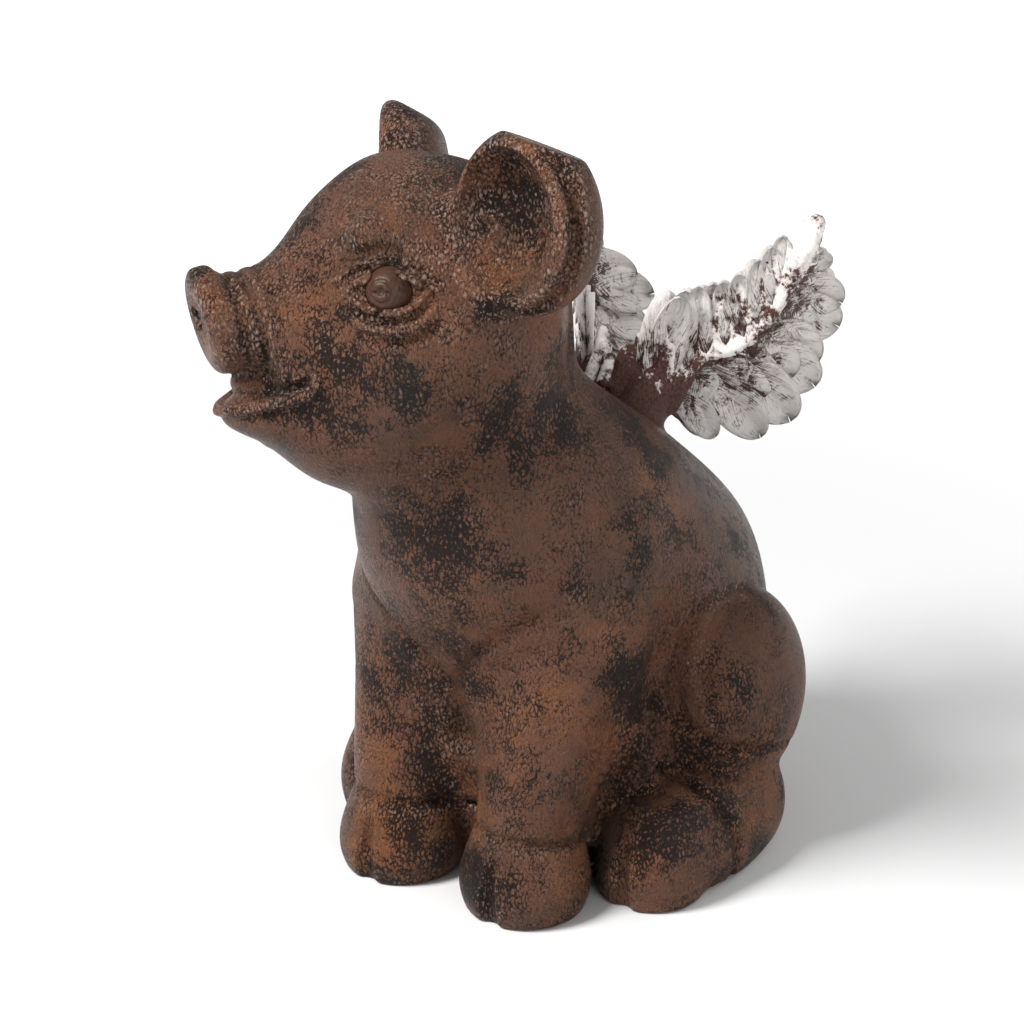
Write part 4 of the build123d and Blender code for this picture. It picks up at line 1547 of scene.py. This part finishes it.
@dataclass(frozen=True)
class CastFinish:
    """Brown resin with dark paint in its fine cracks, lighter where worn on proud parts and under
    a painted highlight.
    """

    name: str
    brown: Color = (0.142, 0.064, 0.039, 1)
    rust: Color = (0.205, 0.082, 0.037, 1)
    umber: Color = (0.080, 0.046, 0.030, 1)
    dark: Color = (0.0050, 0.0046, 0.0044, 1)
    # lighter colour where worn, also used as a painted highlight and painted glints
    rubbed: Color = (0.43, 0.35, 0.30, 1)
    fineness: float = 660.0
    bump: float = 1.0
    bump_depth: float = 0.0011
    roughness: float = 0.27
    specular: float = 0.16
    paint: float = 1.0
    # where paint is thick, where it drifted, where the resin is rust and where it is umber
    thick: Areas = Areas(26.0, 0.44, 0.66, (3.1, 0.4, 1.7))
    drift: Areas = Areas(75.0, 0.30, 0.72, (0.3, 5.2, 0.9))
    rusty: Areas = Areas(19.0, 0.46, 0.64, (7.0, 1.0, 0.2))
    shaded: Areas = Areas(34.0, 0.44, 0.70, (1.5, 8.0, 3.3))
    # heights, in metres, over which a painted highlight grows towards the top of the head
    handled: tuple[float, float] = (0.170, 0.245)

    def material(self, groups: Groups) -> bpy.types.Material:
        """Builds the material."""
        material, nodes, shader = blank(self.name)
        hollow, wear = nodes.stored("hollow", "wear")
        drift = self.drift.mask(nodes, groups)
        density = self.thick.mask(nodes, groups) * 0.60 + drift * 0.38 + hollow * 0.36 + 0.04
        cracks, height = groups.cracks(nodes, self.fineness, density * self.paint)
        color = nodes.mix(self.rusty.mask(nodes, groups), self.brown, self.rust)
        color = nodes.mix(self.shaded.mask(nodes, groups) * 0.8, color, self.umber)
        high = nodes.new("SeparateXYZ", {"Vector": nodes.place()})["Z"]
        # lighter where proud or in drifting areas (wear) and high on the head (painted highlight)
        rub_and_sheen = wear + nodes.steep(high, *self.handled) * 0.20 + drift * 0.45
        # kept to the raised grain, where the light colour also paints glints
        rub_and_sheen = nodes.steep(rub_and_sheen, 0.24, 0.78) * nodes.steep(height, 0.48, 0.86)
        color = nodes.mix(rub_and_sheen * 0.54, color, self.rubbed)
        color = nodes.mix(cracks * 0.93, color, self.dark)
        relief = {"Strength": self.bump, "Distance": self.bump_depth, "Height": height}
        feed(shader, {
            "Base Color": color, "Normal": nodes.new("Bump", relief),
            "Roughness": cracks * 0.16 + self.roughness, "Specular IOR Level": self.specular,
        })
        return material


@dataclass(frozen=True)
class WashFinish:
    """Whitewash rubbed thinly over brown feathers."""

    name: str = "whitewashed_feather"
    white: Color = (0.95, 0.90, 0.86, 1)
    # painted shade of the white wash
    grey: Color = (0.58, 0.50, 0.47, 1)
    brown: Color = (0.100, 0.038, 0.026, 1)
    dark: Color = (0.022, 0.013, 0.011, 1)
    barbs_along: float = 34.0
    barbs_across: float = 5.0
    barb_slant: float = 1.3
    barb_drift: float = 60.0
    mottle: float = 420.0
    fineness: float = 700.0
    density: float = 0.35
    bare: Areas = Areas(95.0, 0.46, 0.66, (2.2, 0.1, 4.0))
    bump_depth: float = 0.0015
    roughness: tuple[float, float] = (0.5, 0.74)
    specular: float = 0.30

    def barbs(self, nodes: Nodes) -> Output:
        """Fine slanting lines on both sides of each feather's rib."""
        uv = nodes.new("SeparateXYZ", {0: nodes.new("UVMap", uv_map="feather_map")})
        slant = uv[0] - abs(uv[1] - 0.5) * self.barb_slant
        lines = {0: slant * self.barbs_along, 1: uv[1] * self.barbs_across}
        inputs = {0: nodes.place(), 1: (self.barb_drift,) * 3, 2: nodes.new("CombineXYZ", lines)}
        drifted = nodes.new("VectorMath", inputs, operation="MULTIPLY_ADD")
        return nodes.noise(drifted, 1.0, 3, 0.6)

    def material(self, groups: Groups) -> bpy.types.Material:
        """Builds the material."""
        material, nodes, shader = blank(self.name)
        wear, hollow, wash = nodes.stored("wear", "hollow", "wash")
        cracks, relief = groups.cracks(nodes, self.fineness, self.density)
        mottle = nodes.noise(nodes.place(), self.mottle, 5, 0.72)
        height = self.barbs(nodes) * 0.95 + mottle * 0.55 + relief * 0.12
        value = height + (wash - 0.72) * 0.62 + (wear - hollow) * 0.26
        value = value - self.bare.mask(nodes, groups) * 0.22
        cover = nodes.steep(value, 0.72, 0.80)
        # painted grey shade gives way to white as the wash value rises: higher up, on proud edges,
        # away from hollows and feather roots
        color = nodes.mix(nodes.steep(value, 0.72, 0.96), self.grey, self.white)
        color = nodes.mix(cover, nodes.mix(cracks, self.brown, self.dark), color)
        bump = {"Strength": 1.0, "Distance": self.bump_depth, "Height": height}
        feed(shader, {
            "Base Color": color, "Normal": nodes.new("Bump", bump),
            "Roughness": nodes.steep(cover, 0, 1, *self.roughness),
            "Specular IOR Level": self.specular,
        })
        return material


@dataclass(frozen=True)
class PlainFinish:
    """A plain hidden material with a little grain."""

    name: str
    color: Color
    roughness: float
    metal: float = 0.0
    fineness: float = 900.0
    density: float = 0.2

    def material(self, groups: Groups) -> bpy.types.Material:
        """Builds the material."""
        material, nodes, shader = blank(self.name)
        cracks, _ = groups.cracks(nodes, self.fineness, self.density)
        darker = tuple(0.7 * part for part in self.color[:3]) + (1.0,)
        feed(shader, {
            "Base Color": nodes.mix(cracks, self.color, darker),
            "Roughness": cracks * 0.1 + self.roughness, "Metallic": self.metal,
        })
        return material


# ---- studio


@dataclass
class Studio:
    """Pale floor, soft light and the photograph's camera."""

    azimuth: float = 35.6
    elevation: float = 19.0
    distance: float = 0.8
    pixels_per_metre: float = 2770.0
    aim: tuple = (0.0, 0.0, 0.140)
    aim_pixel: tuple = (518.4, 496.2)
    picture: int = 1024
    sensor: float = 36.0
    lamp_aim: tuple = (0, 0, 0.15)
    # each lamp's name, place, size and power
    lamps: tuple = (
        ("key", (-0.40, -0.80, 1.12), 0.50, 27.0),
        ("fill", (1.1, -0.6, 0.6), 0.9, 4.0),
        ("rim", (0.5, 0.9, 0.8), 0.6, 4.0),
    )
    half_floor: float = 16.0
    floor_color: Color = (0.74, 0.74, 0.74, 1)
    # distances between which the floor starts to glow, and how strongly it does
    glow: tuple = (0.25, 1.3)
    glow_strength: float = 0.75
    room_light: float = 0.36

    def stand(self, name: str, data: bpy.types.ID, place: Vector, way: Vector) -> bpy.types.Object:
        """Puts a camera or a lamp in the scene, looking against a direction."""
        piece = bpy.data.objects.new(name, data)
        bpy.context.scene.collection.objects.link(piece)
        piece.location = place
        piece.rotation_euler = way.to_track_quat("Z", "Y").to_euler()
        return piece

    def camera(self) -> None:
        """Places the camera."""
        az, el = math.radians(self.azimuth), math.radians(self.elevation)
        back = Vector((math.sin(az) * math.cos(el), -math.cos(az) * math.cos(el), math.sin(el)))
        data = bpy.data.cameras.new("camera")
        data.sensor_width = self.sensor
        data.lens = self.sensor * self.distance * self.pixels_per_metre / self.picture
        data.shift_x = (self.picture / 2 - self.aim_pixel[0]) / self.picture
        data.shift_y = (self.aim_pixel[1] - self.picture / 2) / self.picture
        data.clip_start, data.clip_end = 0.01, 60.0
        place = Vector(self.aim) + back * self.distance
        bpy.context.scene.camera = self.stand("camera", data, place, back)

    def lamp(self, name: str, place: Sequence[float], size: float, power: float) -> None:
        """Places one soft lamp that faces the piglet."""
        data = bpy.data.lights.new(name, "AREA")
        data.shape = "DISK"
        data.size, data.energy = size, power
        self.stand(name, data, Vector(place), Vector(place) - Vector(self.lamp_aim))

    def floor(self) -> None:
        """Lays the floor."""
        mesh = bpy.data.meshes.new("floor")
        half = self.half_floor
        corners = [(-half, -half, 0), (half, -half, 0), (half, half, 0), (-half, half, 0)]
        mesh.from_pydata(corners, [], [(0, 1, 2, 3)])
        floor = bpy.data.objects.new("floor", mesh)
        bpy.context.scene.collection.objects.link(floor)
        material, nodes, shader = blank("pale_floor")
        far = nodes.new("VectorMath", {0: nodes.place()}, operation="LENGTH")["Value"]
        glow = nodes.mix(nodes.steep(far, *self.glow), (0, 0, 0, 1), (1, 1, 1, 1))
        feed(shader, {
            "Base Color": self.floor_color, "Roughness": 0.8, "Specular IOR Level": 0.0,
            "Emission Color": glow, "Emission Strength": self.glow_strength,
        })
        mesh.materials.append(material)

    def room(self) -> None:
        """Lights the room."""
        world = bpy.data.worlds.new("room")
        bpy.context.scene.world = world
        world.use_nodes = True
        feed(world.node_tree.nodes["Background"], {0: (1, 1, 1, 1), 1: self.room_light})

    def build(self) -> None:
        """Sets up the whole studio."""
        self.camera()
        self.floor()
        self.room()
        for lamp in self.lamps:
            self.lamp(*lamp)
        bpy.context.scene.view_settings.view_transform = "Standard"


# ---- assembly


def show(piece: bpy.types.Object, finish: bpy.types.Material, slot: str, *nodes: str) -> None:
    """Dresses a piece, puts it in the scene and lets it stand for its CAD nodes."""
    put_in_scene(piece)
    piece.data.materials.clear()
    piece.data.materials.append(finish)
    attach(piece, "root")
    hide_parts(*nodes)
    LOG.info("%s: %d faces", piece.name, len(piece.data.polygons))


def main() -> None:
    """Builds the figurine and its studio."""
    logging.basicConfig(level=logging.INFO)
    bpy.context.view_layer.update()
    groups = Groups(crackle_group(), cloud_group())
    cast = CastFinish("brushed_resin").material(groups)
    # the eye's light colour, for wear and painted highlight, is a dark brown
    eye_finish = CastFinish(
        "eye_resin", brown=(0.050, 0.023, 0.015, 1), rust=(0.062, 0.028, 0.018, 1),
        rubbed=(0.10, 0.055, 0.038, 1), roughness=0.20, bump=0.15, paint=0.6
    ).material(groups)
    wash = WashFinish().material(groups)
    show(Body().build(), cast, "cast_resin", "body")
    feather = Feather().build()
    for side in Side:
        show(Ear(side).build(), cast, "cast_resin", f"{side.word}_ear")
        show(Eye(side).build(), eye_finish, "eye_resin", f"{side.word}_eye")
        show(Wing(side).build(feather, wash), wash, "whitewashed_resin", f"{side.word}_wing")
    bpy.data.objects.remove(feather)
    steel = PlainFinish("steel", (0.5, 0.5, 0.51, 1), 0.35, 1.0).material(groups)
    rubber = PlainFinish("rubber", (0.03, 0.03, 0.03, 1), 0.7).material(groups)
    for name, node in frame["nodes"].items():
        if "dowel" in name or name == "base_plug":
            node.data.materials.clear()
            node.data.materials.append(rubber if name == "base_plug" else steel)
    Studio().build()


if __name__ == "__main__":
    main()
